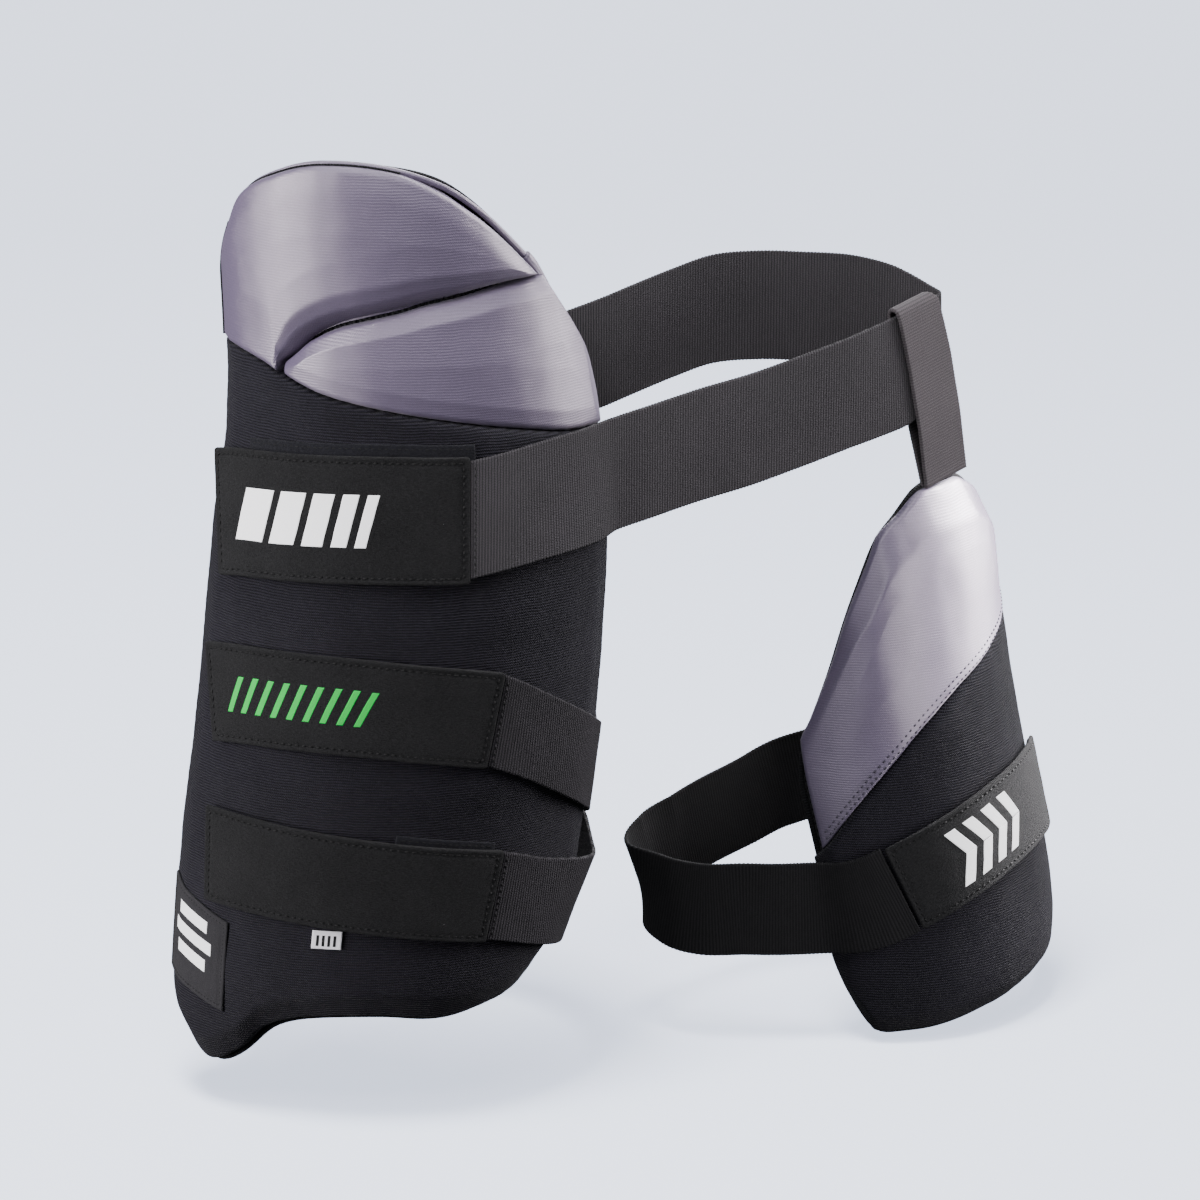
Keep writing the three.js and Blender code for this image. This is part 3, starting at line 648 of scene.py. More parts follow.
class Paint:
    """A node material under construction, with short ways to add and join nodes."""

    def __init__(self, name):
        self.material = bpy.data.materials.new(name)
        self.material.use_nodes = True
        self.tree = self.material.node_tree
        self.tree.nodes.clear()
        self.shader = self.tree.nodes.new("ShaderNodeBsdfPrincipled")
        output = self.tree.nodes.new("ShaderNodeOutputMaterial")
        self.tree.links.new(self.shader.outputs["BSDF"], output.inputs["Surface"])
        source = self.tree.nodes.new("ShaderNodeUVMap")
        source.uv_map = "cloth"
        split = self.tree.nodes.new("ShaderNodeSeparateXYZ")
        self.tree.links.new(source.outputs["UV"], split.inputs[0])
        self.cloth = source.outputs["UV"]
        self.u = split.outputs["X"]
        self.v = split.outputs["Y"]
        self.place = self.tree.nodes.new("ShaderNodeTexCoord").outputs["Object"]

    def join(self, socket, value):
        """Link an output to a socket, or set the socket to a plain value."""
        if isinstance(value, bpy.types.NodeSocket):
            self.tree.links.new(value, socket)
        else:
            socket.default_value = value

    def maths(self, operation, a, b=0.0, c=0.0):
        """Result of a Math node."""
        node = self.tree.nodes.new("ShaderNodeMath")
        node.operation = operation
        for socket, value in zip(node.inputs, (a, b, c)):
            self.join(socket, value)
        return node.outputs[0]

    def wave(self, value, pitch):
        """Sine from -1 to 1 with the given pitch in metres."""
        return self.maths("SINE", self.maths("MULTIPLY", value, 2 * math.pi / pitch))

    def noise(self, scale, detail=3.0, rough=0.55, where=None, stretch=None):
        """Noise from 0 to 1; scale is in features a metre."""
        source = where or self.place
        if stretch:
            mapping = self.tree.nodes.new("ShaderNodeMapping")
            mapping.inputs["Scale"].default_value = stretch
            self.tree.links.new(source, mapping.inputs["Vector"])
            source = mapping.outputs["Vector"]
        node = self.tree.nodes.new("ShaderNodeTexNoise")
        node.inputs["Scale"].default_value = scale
        node.inputs["Detail"].default_value = detail
        node.inputs["Roughness"].default_value = rough
        self.tree.links.new(source, node.inputs["Vector"])
        return node.outputs["Fac"]

    def specks(self, scale, size):
        """Mask that is 1 inside small specks, in three of ten cells, and 0 elsewhere."""
        node = self.tree.nodes.new("ShaderNodeTexVoronoi")
        node.inputs["Scale"].default_value = scale
        self.tree.links.new(self.place, node.inputs["Vector"])
        near = self.maths("LESS_THAN", node.outputs["Distance"], size)
        split = self.tree.nodes.new("ShaderNodeSeparateColor")
        self.tree.links.new(node.outputs["Color"], split.inputs[0])
        few = self.maths("LESS_THAN", split.outputs[0], 0.3)
        return self.maths("MULTIPLY", near, few)

    def blend(self, share, first, second):
        """Colour between two, by share."""
        node = self.tree.nodes.new("ShaderNodeMix")
        node.data_type = "RGBA"
        self.join(node.inputs[0], share)
        colours = [socket for socket in node.inputs if socket.type == "RGBA"]
        for socket, colour in zip(colours, (first, second)):
            if isinstance(colour, bpy.types.NodeSocket):
                self.tree.links.new(colour, socket)
            else:
                socket.default_value = (*colour, 1.0)
        return [socket for socket in node.outputs if socket.type == "RGBA"][0]

    def bump(self, height, distance, strength=1.0, after=None):
        """Bumps of the given depth in metres."""
        node = self.tree.nodes.new("ShaderNodeBump")
        node.inputs["Strength"].default_value = strength
        node.inputs["Distance"].default_value = distance
        self.tree.links.new(height, node.inputs["Height"])
        if after is not None:
            self.tree.links.new(after, node.inputs["Normal"])
        return node.outputs["Normal"]

    def finish(self, colour, rough, normal, sheen, sheen_rough, specular):
        """Set the shader and return the material."""
        self.join(self.shader.inputs["Base Color"], colour)
        self.join(self.shader.inputs["Roughness"], rough)
        self.shader.inputs["Specular IOR Level"].default_value = specular
        self.shader.inputs["Sheen Weight"].default_value = sheen
        self.shader.inputs["Sheen Roughness"].default_value = sheen_rough
        self.tree.links.new(normal, self.shader.inputs["Normal"])
        return self.material


def stretch_knit(name, light, dark, rib_depth, rib_shade, rough, specular, ior, dust, grain):
    """Stretch cloth over foam: fine wavy ribs across, a fine grain, soft shade changes and lint.

    rib_depth and grain are depths in metres, rib_shade and dust are shares, and the rest is the shader's.
    """
    p = Paint(name)
    drift = p.maths("MULTIPLY_ADD", p.noise(70, 2), 0.0016, p.v)
    ribs = p.wave(drift, 0.0012)
    knit = p.wave(p.u, 0.0009)
    cross = p.maths("MULTIPLY", ribs, knit)
    weave = p.maths("MULTIPLY_ADD", cross, 0.6, ribs)
    patchy = p.noise(16, 3)
    fine = p.noise(1500, 2, 0.7)
    share = p.maths("MULTIPLY_ADD", weave, rib_shade, patchy)
    share = p.maths("MULTIPLY_ADD", fine, 1.5, share)
    share = p.maths("SUBTRACT", share, 0.75)
    colour = p.blend(share, dark, light)
    colour = p.blend(p.maths("MULTIPLY", p.specks(55, 0.018), dust), colour, (0.62, 0.62, 0.64))
    normal = p.bump(weave, rib_depth)
    normal = p.bump(p.noise(2000, 2), grain, 0.8, normal)
    normal = p.bump(p.noise(38, 2), 0.0011, 0.5, normal)
    roughness = p.maths("MULTIPLY_ADD", patchy, 0.1, rough - 0.05)
    tangent = p.tree.nodes.new("ShaderNodeTangent")
    tangent.direction_type = "UV_MAP"
    tangent.uv_map = "cloth"
    p.tree.links.new(tangent.outputs[0], p.shader.inputs["Tangent"])
    p.shader.inputs["Anisotropic"].default_value = 0.75
    p.shader.inputs["Anisotropic Rotation"].default_value = 0.25
    p.shader.inputs["IOR"].default_value = ior
    return p.finish(colour, roughness, normal, sheen=0.07, sheen_rough=0.4, specular=specular)


def webbing(name, light, dark, depth=0.00016):
    """Woven elastic: fine ribs across its length with a staggered weave and loose fibres."""
    p = Paint(name)
    ribs = p.wave(p.u, 0.0013)
    offset = p.maths("MULTIPLY", p.wave(p.u, 0.0026), 1.57)
    turned = p.maths("SINE", p.maths("ADD", p.maths("MULTIPLY", p.v, 2 * math.pi / 0.0011), offset))
    weave = p.maths("MULTIPLY_ADD", turned, 0.35, ribs)
    patchy = p.noise(24, 3)
    fibre = p.noise(1700, 3, 0.7, where=p.cloth, stretch=(1, 2, 1))
    share = p.maths("MULTIPLY_ADD", weave, 0.5, p.maths("MULTIPLY", patchy, 0.6))
    share = p.maths("MULTIPLY_ADD", fibre, 1.8, share)
    share = p.maths("SUBTRACT", share, 0.75)
    colour = p.blend(share, dark, light)
    normal = p.bump(weave, depth)
    normal = p.bump(fibre, 0.00045, 0.8, normal)
    return p.finish(colour, 0.72, normal, sheen=0.03, sheen_rough=0.5, specular=0.12)


def felt(name, light, dark, pile, sheen):
    """Brushed loop cloth: matte, with short tangled fibres, faint thread lines and flattened patches."""
    p = Paint(name)
    fibre = p.noise(pile, 4, 0.75)
    streak = p.noise(pile * 0.8, 3, 0.6, where=p.cloth, stretch=(0.5, 2.2, 1))
    patchy = p.noise(40, 4, 0.6)
    share = p.maths("MULTIPLY_ADD", fibre, 1.7, p.maths("MULTIPLY", patchy, 0.5))
    share = p.maths("MULTIPLY_ADD", streak, 1.3, share)
    share = p.maths("SUBTRACT", share, 1.25)
    colour = p.blend(share, dark, light)
    colour = p.blend(p.maths("MULTIPLY", p.specks(80, 0.02), 0.3), colour, (0.3, 0.3, 0.32))
    normal = p.bump(fibre, 0.0008)
    normal = p.bump(streak, 0.0006, 0.8, normal)
    return p.finish(colour, 0.93, normal, sheen=sheen, sheen_rough=0.55, specular=0.12)


def open_knit(name, light, dark):
    """Spacer knit with small round holes in staggered rows."""
    p = Paint(name)
    pitch = 0.0034
    cells = p.maths("MULTIPLY", p.wave(p.u, pitch), p.wave(p.v, pitch))
    hole_level = 0.42
    hole_shade = p.maths("GREATER_THAN", cells, hole_level)
    fibre = p.noise(1400, 3)
    patchy = p.noise(22, 3)
    share = p.maths("MULTIPLY_ADD", fibre, 0.5, p.maths("MULTIPLY", patchy, 0.5))
    colour = p.blend(share, dark, light)
    # The holes are painted near black: painted shade in the holes.
    colour = p.blend(hole_shade, colour, (0.004, 0.004, 0.005))
    height = p.maths("MAXIMUM", p.maths("MULTIPLY", cells, -1), -hole_level)
    normal = p.bump(height, 0.0007)
    normal = p.bump(fibre, 0.0002, 0.6, normal)
    return p.finish(colour, 0.9, normal, sheen=0.05, sheen_rough=0.5, specular=0.12)


def thread(name, light, dark):
    """Twisted sewing thread."""
    p = Paint(name)
    twist = p.noise(2500, 2, 0.5, stretch=(1, 1, 2.5))
    colour = p.blend(twist, dark, light)
    return p.finish(colour, 0.6, p.bump(twist, 0.0001), sheen=0.0, sheen_rough=0.4, specular=0.25)


def ink(name, light, dark, wear, painted_glow=0.0):
    """Printed film on cloth, a little worn, with the cloth showing through as grain. Its emission makes it
    glow as painted light.
    """
    p = Paint(name)
    grain = p.noise(1700, 3, 0.65)
    patchy = p.noise(70, 3)
    share = p.maths("MULTIPLY_ADD", grain, 0.6, p.maths("MULTIPLY", patchy, 0.5))
    colour = p.blend(share, dark, light)
    worn = p.maths("GREATER_THAN", p.maths("MULTIPLY_ADD", patchy, 0.3, grain), wear)
    colour = p.blend(p.maths("MULTIPLY", worn, 0.6), colour, (0.1, 0.1, 0.11))
    # Emission makes the print glow though it is no lamp: painted light.
    p.join(p.shader.inputs["Emission Color"], colour)
    p.shader.inputs["Emission Strength"].default_value = painted_glow
    return p.finish(colour, 0.6, p.bump(grain, 0.00025), sheen=0.0, sheen_rough=0.5, specular=0.35)


# Paints

grey_paint = stretch_knit(
    "grey_cover", (0.138, 0.11, 0.178), (0.085, 0.068, 0.115), rib_depth=0.00003, rib_shade=0.1, rough=0.47,
    specular=1.0, ior=1.7, dust=0.8, grain=0.00012)
grey_paint.node_tree.nodes["Principled BSDF"].inputs["Specular Tint"].default_value = (1, 0.93, 0.985, 1)
black_paint = stretch_knit(
    "black_cover", (0.0245, 0.0228, 0.0315), (0.0045, 0.0042, 0.006), rib_depth=0.0002, rib_shade=0.45,
    rough=0.5, specular=0.06, ior=1.5, dust=0.12, grain=0.0003)
elastic_paint = webbing("elastic", (0.046, 0.042, 0.048), (0.0125, 0.0118, 0.0136))
# Darker copy of the elastic for the waist strap, offsetting its own strap lights: painted shade.
waist_elastic_shaded_paint = webbing("waist_elastic", (0.027, 0.0245, 0.028), (0.007, 0.0066, 0.0076))
# Darker copy of the elastic for the inner strap: painted shade.
inner_elastic_shaded_paint = webbing(
    "inner_elastic", (0.015, 0.0145, 0.016), (0.006, 0.0058, 0.0064), depth=0.00005)
hanger_paint = webbing("hanger_tape", (0.096, 0.085, 0.092), (0.056, 0.05, 0.054), depth=0.00003)
tab_paint = felt("tab_cloth", (0.024, 0.024, 0.0253), (0.005, 0.005, 0.0055), pile=1300, sheen=0.04)
patch_paint = felt("loop_patch", (0.015, 0.015, 0.02), (0.004, 0.004, 0.006), pile=900, sheen=0.06)
lining_paint = open_knit("lining", (0.03, 0.03, 0.032), (0.013, 0.013, 0.0145))
binding_paint = webbing("binding", (0.016, 0.016, 0.018), (0.007, 0.007, 0.008))
thread_paint = thread("dark_thread", (0.008, 0.008, 0.0085), (0.004, 0.004, 0.0042))
grey_thread_paint = thread("grey_thread", (0.06, 0.052, 0.075), (0.03, 0.027, 0.038))
badge_paint = felt("badge_cloth", (0.05, 0.048, 0.053), (0.026, 0.025, 0.028), pile=2600, sheen=0.05)
label_paint = ink("label_tape", (0.9, 0.9, 0.92), (0.72, 0.72, 0.76), wear=1.2)
# The white print glows with painted light.
white_paint = ink("white_print", (0.95, 0.95, 0.96), (0.88, 0.88, 0.9), wear=0.95, painted_glow=0.6)
green_paint = ink("green_print", (0.0, 0.6, 0.07), (0.0, 0.45, 0.05), wear=0.95)


# Outer guard

outer_right = OUTER_WRAP
outer_left = -OUTER_WRAP
rim_turn = RIM / OUTER_HALF * 180 / math.pi
body_left = outer_left + rim_turn
body_right = outer_right - rim_turn
outer_lining_face = -OUTER_FOAM - LINING_GAP
NO_BEVEL = [1, 0]
FLAT = {"left": NO_BEVEL, "right": NO_BEVEL, "bottom": NO_BEVEL, "top": NO_BEVEL}
seam_at = outer_at(OUTER_SEAM)
groove_at = outer_at(OUTER_GROOVE)
rim_at = outer_at(OUTER_TOP)


def ripple(turn, z):
    """Slight unevenness of a cover drawn over foam."""
    a = np.sin(turn * 0.21 + z * 0.083 + 1.3) * np.sin(z * 0.061 - turn * 0.05 + 0.4)
    b = np.sin(turn * 0.47 - z * 0.12 + 2.1) * np.sin(z * 0.14 + turn * 0.11)
    return 0.16 * a + 0.08 * b


def pucker(edge, run, reach=5.0, depth=0.28, pitch=4.2):
    """Small gathers of the cover beside a sewn edge."""
    near = np.exp(-edge / reach)
    return depth * near * np.sin(run * 2 * math.pi / pitch) * np.sin(run * 0.9 + 0.7)


def smooth(x):
    """Share that goes from 0 to 1 with soft ends."""
    x = np.clip(x, 0, 1)
    return x ** 2 * (3 - 2 * x)


def between(z, low, high):
    """Bump that is 1 halfway between two heights and 0 outside them."""
    share = np.clip((z - low) / (high - low), 0, 1)
    return np.sin(share * math.pi) ** 2


def body_relief(turn, z, edge):
    """Swells of the black body between its straps."""
    swell = 0.9 * between(z, -95, -60) + 0.8 * between(z, -167, -136) + 0.9 * between(z, -262, -214)
    swell = swell * np.clip((edge - 6) / 14, 0, 1)
    return swell + ripple(turn, z) + pucker(edge, turn * 1.5 + z * 0.4, 3.0, 0.2)


def panel_relief(turn, z, edge):
    """Low crown of a grey panel."""
    crown = 0.9 * np.clip((edge - 5) / 22, 0, 1) ** 1.5
    return crown + 0.6 * ripple(turn, z) + pucker(edge, turn * 1.5, 2.6, 0.16)


def lining_top(turn):
    """Top edge of the lining, which shows over the rim only at the right."""
    return rim_at(turn) - 2.4 * (1 - smooth((np.asarray(turn, float) + 6) / 26))


def lining_relief(turn, z, edge):
    """Slight unevenness of a lining."""
    return 0.4 * ripple(turn, z)


outer_lining = pad("outer_lining_cloth", outer_leg, {
    "radius": OUTER_HALF, "left": outer_left, "right": outer_right, "columns": 70, "rows": 96,
    "bottom": outer_at(OUTER_BOTTOM), "top": lining_top,
    "face": outer_lining_face, "back": outer_lining_face - LINING, "bevel": FLAT, "edge": 0.9, "wall": 1,
    "relief": lining_relief,
}, lining_paint, ["outer_lining"])

outer_body = pad("outer_body_cover", outer_leg, {
    "radius": OUTER_HALF, "left": body_left, "right": body_right,
    "columns": 140, "rows": 170,
    "bottom": outer_at(OUTER_BOTTOM, RIM), "top": outer_at(OUTER_SEAM, -SEAM_GAP / 2),
    "face": 0, "back": -OUTER_FOAM,
    "bevel": {"left": [17, 3.2], "right": [17, 3.2], "bottom": [12, 6.5], "top": [3, 1.2]},
    "relief": body_relief,
}, black_paint, ["outer_body"])


def upper_bottom(turn):
    """Bottom edge of the upper panel: along the seam at the left, then along the groove."""
    seam = seam_at(turn) + SEAM_GAP / 2
    groove = np.maximum(seam, groove_at(turn) + GROOVE_GAP / 2)
    return np.where(turn < GROOVE_FROM * OUTER_WRAP, seam, groove)


# Width of the slope above the groove, by share of the groove's length
SLOPE_WIDTH = curve([[0, 3], [0.06, 8], [0.16, 12], [0.35, 14], [0.62, 12.5], [0.85, 8], [1, 3]])


def groove_slope(u, z):
    """Two-step slope of the upper panel down to the groove."""
    turns = np.linspace(GROOVE_FROM * OUTER_WRAP, GROOVE_TO * OUTER_WRAP, 300)
    line = np.stack([turns * OUTER_HALF * math.pi / 180, groove_at(turns)], 1)
    runs = lengths(line)
    away = np.hypot(u[..., None] - line[:, 0], z[..., None] - line[:, 1])
    nearest = np.argmin(away, -1)
    d = np.min(away, -1)
    width = SLOPE_WIDTH(runs[nearest] / runs[-1])
    beside = np.clip((u - line[0, 0] + 1) / 3, 0, 1)
    return beside * (ramp(d, width, 0.42 * width, 0.1) + ramp(d, 0.5 * width, 0.5 * width, 0.2))


def upper_top(turn):
    """Top edge of the upper panel, set lower at its right end beside the rim strip."""
    turn = np.asarray(turn, float)
    return rim_at(turn) - RIM - 2.9 * smooth((turn - 2) / 24) - 1.6 * np.clip((turn - 20) / 25, 0, 1)


upper_panel = pad("hip_panel_upper_cover", outer_leg, {
    "radius": OUTER_HALF, "left": body_left, "right": GROOVE_TO * OUTER_WRAP,
    "columns": 170, "rows": 90, "bottom": upper_bottom, "top": upper_top,
    "face": 0, "back": -OUTER_FOAM,
    "bevel": {"left": [16, 2.2], "right": [6, 1.5], "bottom": [3, 1.2], "top": [9, 2]}, "ease": 0.4,
    "relief": panel_relief, "cut": groove_slope, "edge": 2.4,
}, grey_paint, ["hip_panel_upper"])

lower_panel = pad("hip_panel_lower_cover", outer_leg, {
    "radius": OUTER_HALF, "left": GROOVE_FROM * OUTER_WRAP + 1.5, "right": body_right,
    "columns": 150, "rows": 60, "bottom": outer_at(OUTER_SEAM, SEAM_GAP / 2),
    "top": lambda turn: np.minimum(rim_at(turn) - RIM, groove_at(turn) - GROOVE_GAP / 2),
    "face": 0, "back": -OUTER_FOAM,
    "bevel": {"left": [10, 3], "right": [12, 3.6], "bottom": [9, 2.1, 2.5, 1.1], "top": [6, 4.5]},
    "relief": panel_relief, "ease": 0.05,
}, grey_paint, ["hip_panel_lower"])


def outline(left, right, bottom, top, radius, step=3.0):
    """Closed path of turn and height round a pad, counterclockwise from its lower left corner."""
    per_degree = radius * math.pi / 180
    count = max(8, int((right - left) * per_degree / step))
    turns = np.linspace(left, right, count + 1)
    low = np.stack([turns, bottom(turns)], 1)
    high = np.stack([turns[::-1], top(turns[::-1])], 1)

    def side(turn, first, last):
        count = int(abs(float(top(turn) - bottom(turn))) / step)
        share = np.linspace(0, 1, count + 1)[1:-1, None]
        return first * (1 - share) + last * share

    return np.vstack([low, side(right, low[-1], high[0]), high, side(left, high[-1], low[0])])


def soften(path, times):
    """Closed path with its corners rounded."""
    for _ in range(times):
        path = 0.5 * path + 0.25 * (np.roll(path, 1, 0) + np.roll(path, -1, 0))
    return path


def binding(name, leg, path, out, wide, high):
    """Edging sewn round the rim of a guard."""
    middle = soften(leg(path[:, 0], path[:, 1], out), 3)
    outer = soften(leg(path[:, 0], path[:, 1], out + 5), 3)
    tube(name, middle, outer - middle, wide, high, binding_paint, closed_loop=True, squarish=0.35)


outer_rim = outline(outer_left, outer_right, outer_at(OUTER_BOTTOM), lining_top, OUTER_HALF)
binding("outer_edging", outer_leg, outer_rim, -OUTER_FOAM - 0.8, 3.0, 3.4)

# Grey cloth turned over the rim, with a thicker tuck at its right end
groove_end = GROOVE_TO * OUTER_WRAP
strip_turns = np.linspace(outer_left + 5, groove_end + 5, 130)
strip_heights = rim_at(strip_turns) - 0.9 - 2 * np.clip((strip_turns - groove_end) / 5, 0, 1)
strip_middle = outer_leg(strip_turns, strip_heights, -8.4)
strip_outer = outer_leg(strip_turns, strip_heights, -3.4)
strip_normals = strip_outer - strip_middle
tube("rim_strip", strip_middle, strip_normals, 2.6, 3.6, grey_paint, squarish=0.3)
tuck = strip_middle[-9:] + 0.8 * unit(strip_normals[-9:])
tube("rim_strip_tuck", tuck, strip_outer[-9:] - tuck, 4.6, 4.2, grey_paint, squarish=0.2)


def seam_cord(name, path, wide):
    """Thin dark cord along a path of turn, height and distance out."""
    path = np.array(path)
    for _ in range(4):
        path[1:-1] = 0.5 * path[1:-1] + 0.25 * (path[2:] + path[:-2])
    middle = outer_leg(path[:, 0], path[:, 1], path[:, 2])
    outer = outer_leg(path[:, 0], path[:, 1], path[:, 2] + 5)
    tube(name, middle, outer - middle, wide, wide, binding_paint, sides=8)


def along_rim(first, last, step, over, out):
    """Path a little over the inner line of the rim, between two turns."""
    return [[t, rim_at(t) - RIM + over, out] for t in np.arange(first, last, step)]


# Where the dark cord up the left edge of the upper panel runs into the rim
NOTCH_TURN = -60
left_cord_heights = np.arange(seam_at(body_left) + 1, upper_top(body_left) - 2, 1.5)
left_dark_cord = [[body_left + 0.6, z, -2.1] for z in left_cord_heights]
left_dark_cord += [[t, upper_top(t) - 0.8, -2.4] for t in np.arange(body_left + 1.4, NOTCH_TURN, 0.8)]
# A thin dark cord up the panel's left edge.
seam_cord("hip_panel_left_dark_cord", left_dark_cord, 1.1)
seam_cord("rim_notch", along_rim(NOTCH_TURN - 2, NOTCH_TURN + 4, 0.7, 0.3, -5.4), 1.7)
seam_cord("rim_seam_line", along_rim(NOTCH_TURN - 1, 6, 0.8, 0.5, -5.9), 0.9)


def leg_row(leg, turns, heights, out):
    """Sewn line on a leg surface: its points and its outward directions."""
    points = leg(turns, heights, out)
    return points, leg(turns, heights, out + 3) - points


# Patches of loop cloth under the tabs


def patch(name, leg, line, start, end, above, below, radius, node):
    """Loop patch on a pad, under a tab."""
    height = curve(line, 1)
    pad(name, leg, {
        "radius": radius, "left": start, "right": end, "columns": 60, "rows": 26,
        "bottom": lambda turn: height(turn) - below, "top": lambda turn: height(turn) + above,
        "face": 1.5 * GAP + PATCH, "back": 1.5 * GAP - 0.35, "bevel": FLAT, "edge": 0.5, "wall": 1,
    }, patch_paint, [node])
    turns = np.linspace(start + 1.2, end - 1.2, 80)
    over = leg_row(leg, turns, height(turns) + above - 1.8, 1.5 * GAP + PATCH)
    stitches(name + "_stitches", [over], thread_paint, pitch=2.8, length=1.8, thick=0.2)


patch("waist_loop_patch", outer_leg, WAIST_TAB_LINE, -50, 18, WAIST_TAB_WIDE / 2 + 4, WAIST_TAB_WIDE / 2 - 3,
      OUTER_HALF, "waist_patch")
patch("thigh_loop_patch_upper", outer_leg, UPPER_TAB_LINE, -36, 25, 18, 18, OUTER_HALF, "thigh_patch_upper")
patch("thigh_loop_patch_lower", outer_leg, LOWER_TAB_LINE, 4, 31, 24, 18, OUTER_HALF, "thigh_patch_lower")


# Tabs


def frame_path(s0, s1, w0, w1, radius):
    """Closed path of a rectangle with rounded corners, in lengths along and across a band."""
    corners = [(s1 - radius, w0 + radius, -90), (s1 - radius, w1 - radius, 0),
               (s0 + radius, w1 - radius, 90), (s0 + radius, w0 + radius, 180)]
    path = []
    for s, w, first in corners:
        for k in range(7):
            a = math.radians(first + 15 * k)
            path.append([s + radius * math.cos(a), w + radius * math.sin(a)])
    path.append(path[0])
    return np.array(path)


def band_row(band, path, h):
    """Sewn line on a band."""
    path = dense(path, 1.0)
    points = band.place(path[:, 0], path[:, 1], h)
    return points, band.place(path[:, 0], path[:, 1], h + 3) - points


# Distance of the sewn frame from the edge of a tab, and height of its thread over the middle layer
FRAME_INSET = 2.7
FRAME_HEIGHT = TAB / 2 - 0.3


def tab(name, leg, line, start, end, width, node):
    """Fastening tab: a felt face over a thinner hook layer. Returns its band, stops and sewn lines."""
    stops = line_stops(leg, line, start, end, 8, ON_PAD + TAB / 2)
    band = course(stops, 160)
    long = band.length
    half = width / 2

    def face_relief(s, w, edge):
        sewn = np.exp(-((edge - FRAME_INSET) / 0.7) ** 2)
        return -0.5 * sewn + 0.1 * np.sin(s * 0.31 + w * 0.2) * np.sin(w * 0.23 + 0.5)

    plate(name, band, (0, long), (-half, half), (-0.3, TAB / 2), tab_paint, "tab", [node],
          corner=1.6, edge=0.8, rows=30, pitch=1.3, relief=face_relief)
    plate(name + "_hooks", band, (1.2, long - 0.6), (-half + 1.1, half - 1.1), (-TAB / 2, -0.35),
          patch_paint, "tab", corner=1, edge=0.4, rows=8, pitch=3)
    path = frame_path(FRAME_INSET, long - FRAME_INSET, -half + FRAME_INSET, half - FRAME_INSET, 1.0)
    return band, stops, [band_row(band, path, FRAME_HEIGHT)]


waist_band, waist_stops, waist_rows = tab(
    "waist_tab_cloth", outer_leg, WAIST_TAB_LINE, -59, WAIST_TAB_END, WAIST_TAB_WIDE, "waist_tab")
upper_band, upper_stops, upper_rows = tab(
    "thigh_tab_upper_cloth", outer_leg, UPPER_TAB_LINE, -55, UPPER_TAB_END, THIGH_TAB_WIDE,
    "thigh_tab_upper")
lower_band, lower_stops, lower_rows = tab(
    "thigh_tab_lower_cloth", outer_leg, LOWER_TAB_LINE, -49, LOWER_TAB_END, THIGH_TAB_WIDE,
    "thigh_tab_lower")
inner_band, _, inner_rows = tab(
    "inner_tab_cloth", inner_leg, INNER_TAB_LINE, 7.1, 84, INNER_TAB_WIDE, "inner_tab")


def cross_row(band, s, half, h):
    """Sewn line across a band."""
    return band_row(band, [[s, -half], [s, half]], h)


upper_rows.append(cross_row(upper_band, 6.2, 18, FRAME_HEIGHT))
lower_rows.append(cross_row(lower_band, 6.2, 18, FRAME_HEIGHT))
for title, rows in (
    ("waist_tab_stitches", waist_rows), ("thigh_tab_upper_stitches", upper_rows),
    ("thigh_tab_lower_stitches", lower_rows), ("inner_tab_stitches", inner_rows),
):
    stitches(title, rows, thread_paint, pitch=3.2, length=2.0, thick=0.42)


# Prints: plain slanted bars and chevrons, half sunk in the tab's face

PRINT_LAYER = (TAB / 2 - 0.25, TAB / 2 + 0.12)


def bars(name, band, start, widths, gap, low, high, slant, paint):
    """Row of slanted bars on a tab."""
    s = start
    for k, wide in enumerate(widths):
        plate(f"{name}_{k + 1}", band, (s, s + wide), (low, high), PRINT_LAYER, paint, "tab",
              edge=0.15, rows=24, columns=max(4, int(wide)), slant=slant)
        s += wide + gap


def chevrons(name, band, start, count, step, thick, half, reach, paint):
    """Row of chevrons on a tab."""
    for k in range(count):
        for side, low, high, slant in (("a", 0.02, half, -reach / half), ("b", -half, -0.02, reach / half)):
            s = start + step * k
            plate(f"{name}_{k + 1}{side}", band, (s, s + thick), (low, high), PRINT_LAYER, paint, "tab",
                  edge=0.15, rows=14, columns=max(4, int(thick)), slant=slant)


bars("waist_print", waist_band, 17, [15, 12, 9.5, 7, 5], 3.4, -11.5, 11, 0.28, white_paint)
bars("thigh_print", upper_band, 16, [3] * 9, 4.6, -8, 8, 0.45, green_paint)
chevrons("inner_print", inner_band, 33, 4, 10.5, 6, 14, 7, white_paint)


# Straps


def strap_rows(line):
    """Rows of a strap's centre line, lifted from its underside to its middle layer."""
    return [[row[0], row[1], row[2] + ELASTIC / 2, row[3] if len(row) > 3 else 0] for row in line]


# Turn in degrees between the end of a tab and the start of its strap
end_step = GAP / OUTER_HALF * 180 / math.pi


def elastic(name, band, width, node, paint=elastic_paint):
    """Elastic strap with ribs and slightly toothed edges."""
    def relief(s, w, _):
        return 0.07 * np.sin(s * 0.19 + w * 0.12) * np.sin(w * 0.17 + s * 0.05)

    plate(name, band, (0, band.length), (-width / 2, width / 2), (-ELASTIC / 2, ELASTIC / 2),
          paint, "elastic", [node], edge=0.7, rows=12, pitch=0.8, wave=TOOTH, relief=relief)


def thigh_strap(name, line, start, tab_stops, node):
    """Elastic from the end of a tab round the back of the thigh to the inside of the guard."""
    stops = line_stops(outer_leg, strap_rows(line), start + end_step, line[-1][0], 6, 0)
    band = course(stops, 500, end_direction(tab_stops))
    elastic(name, band, THIGH_WIDE, node)
    return band


upper_elastic = thigh_strap(
    "thigh_elastic_upper", UPPER_LINE, UPPER_TAB_END, upper_stops, "thigh_strap_upper")
lower_elastic = thigh_strap(
    "thigh_elastic_lower", LOWER_LINE, LOWER_TAB_END, lower_stops, "thigh_strap_lower")

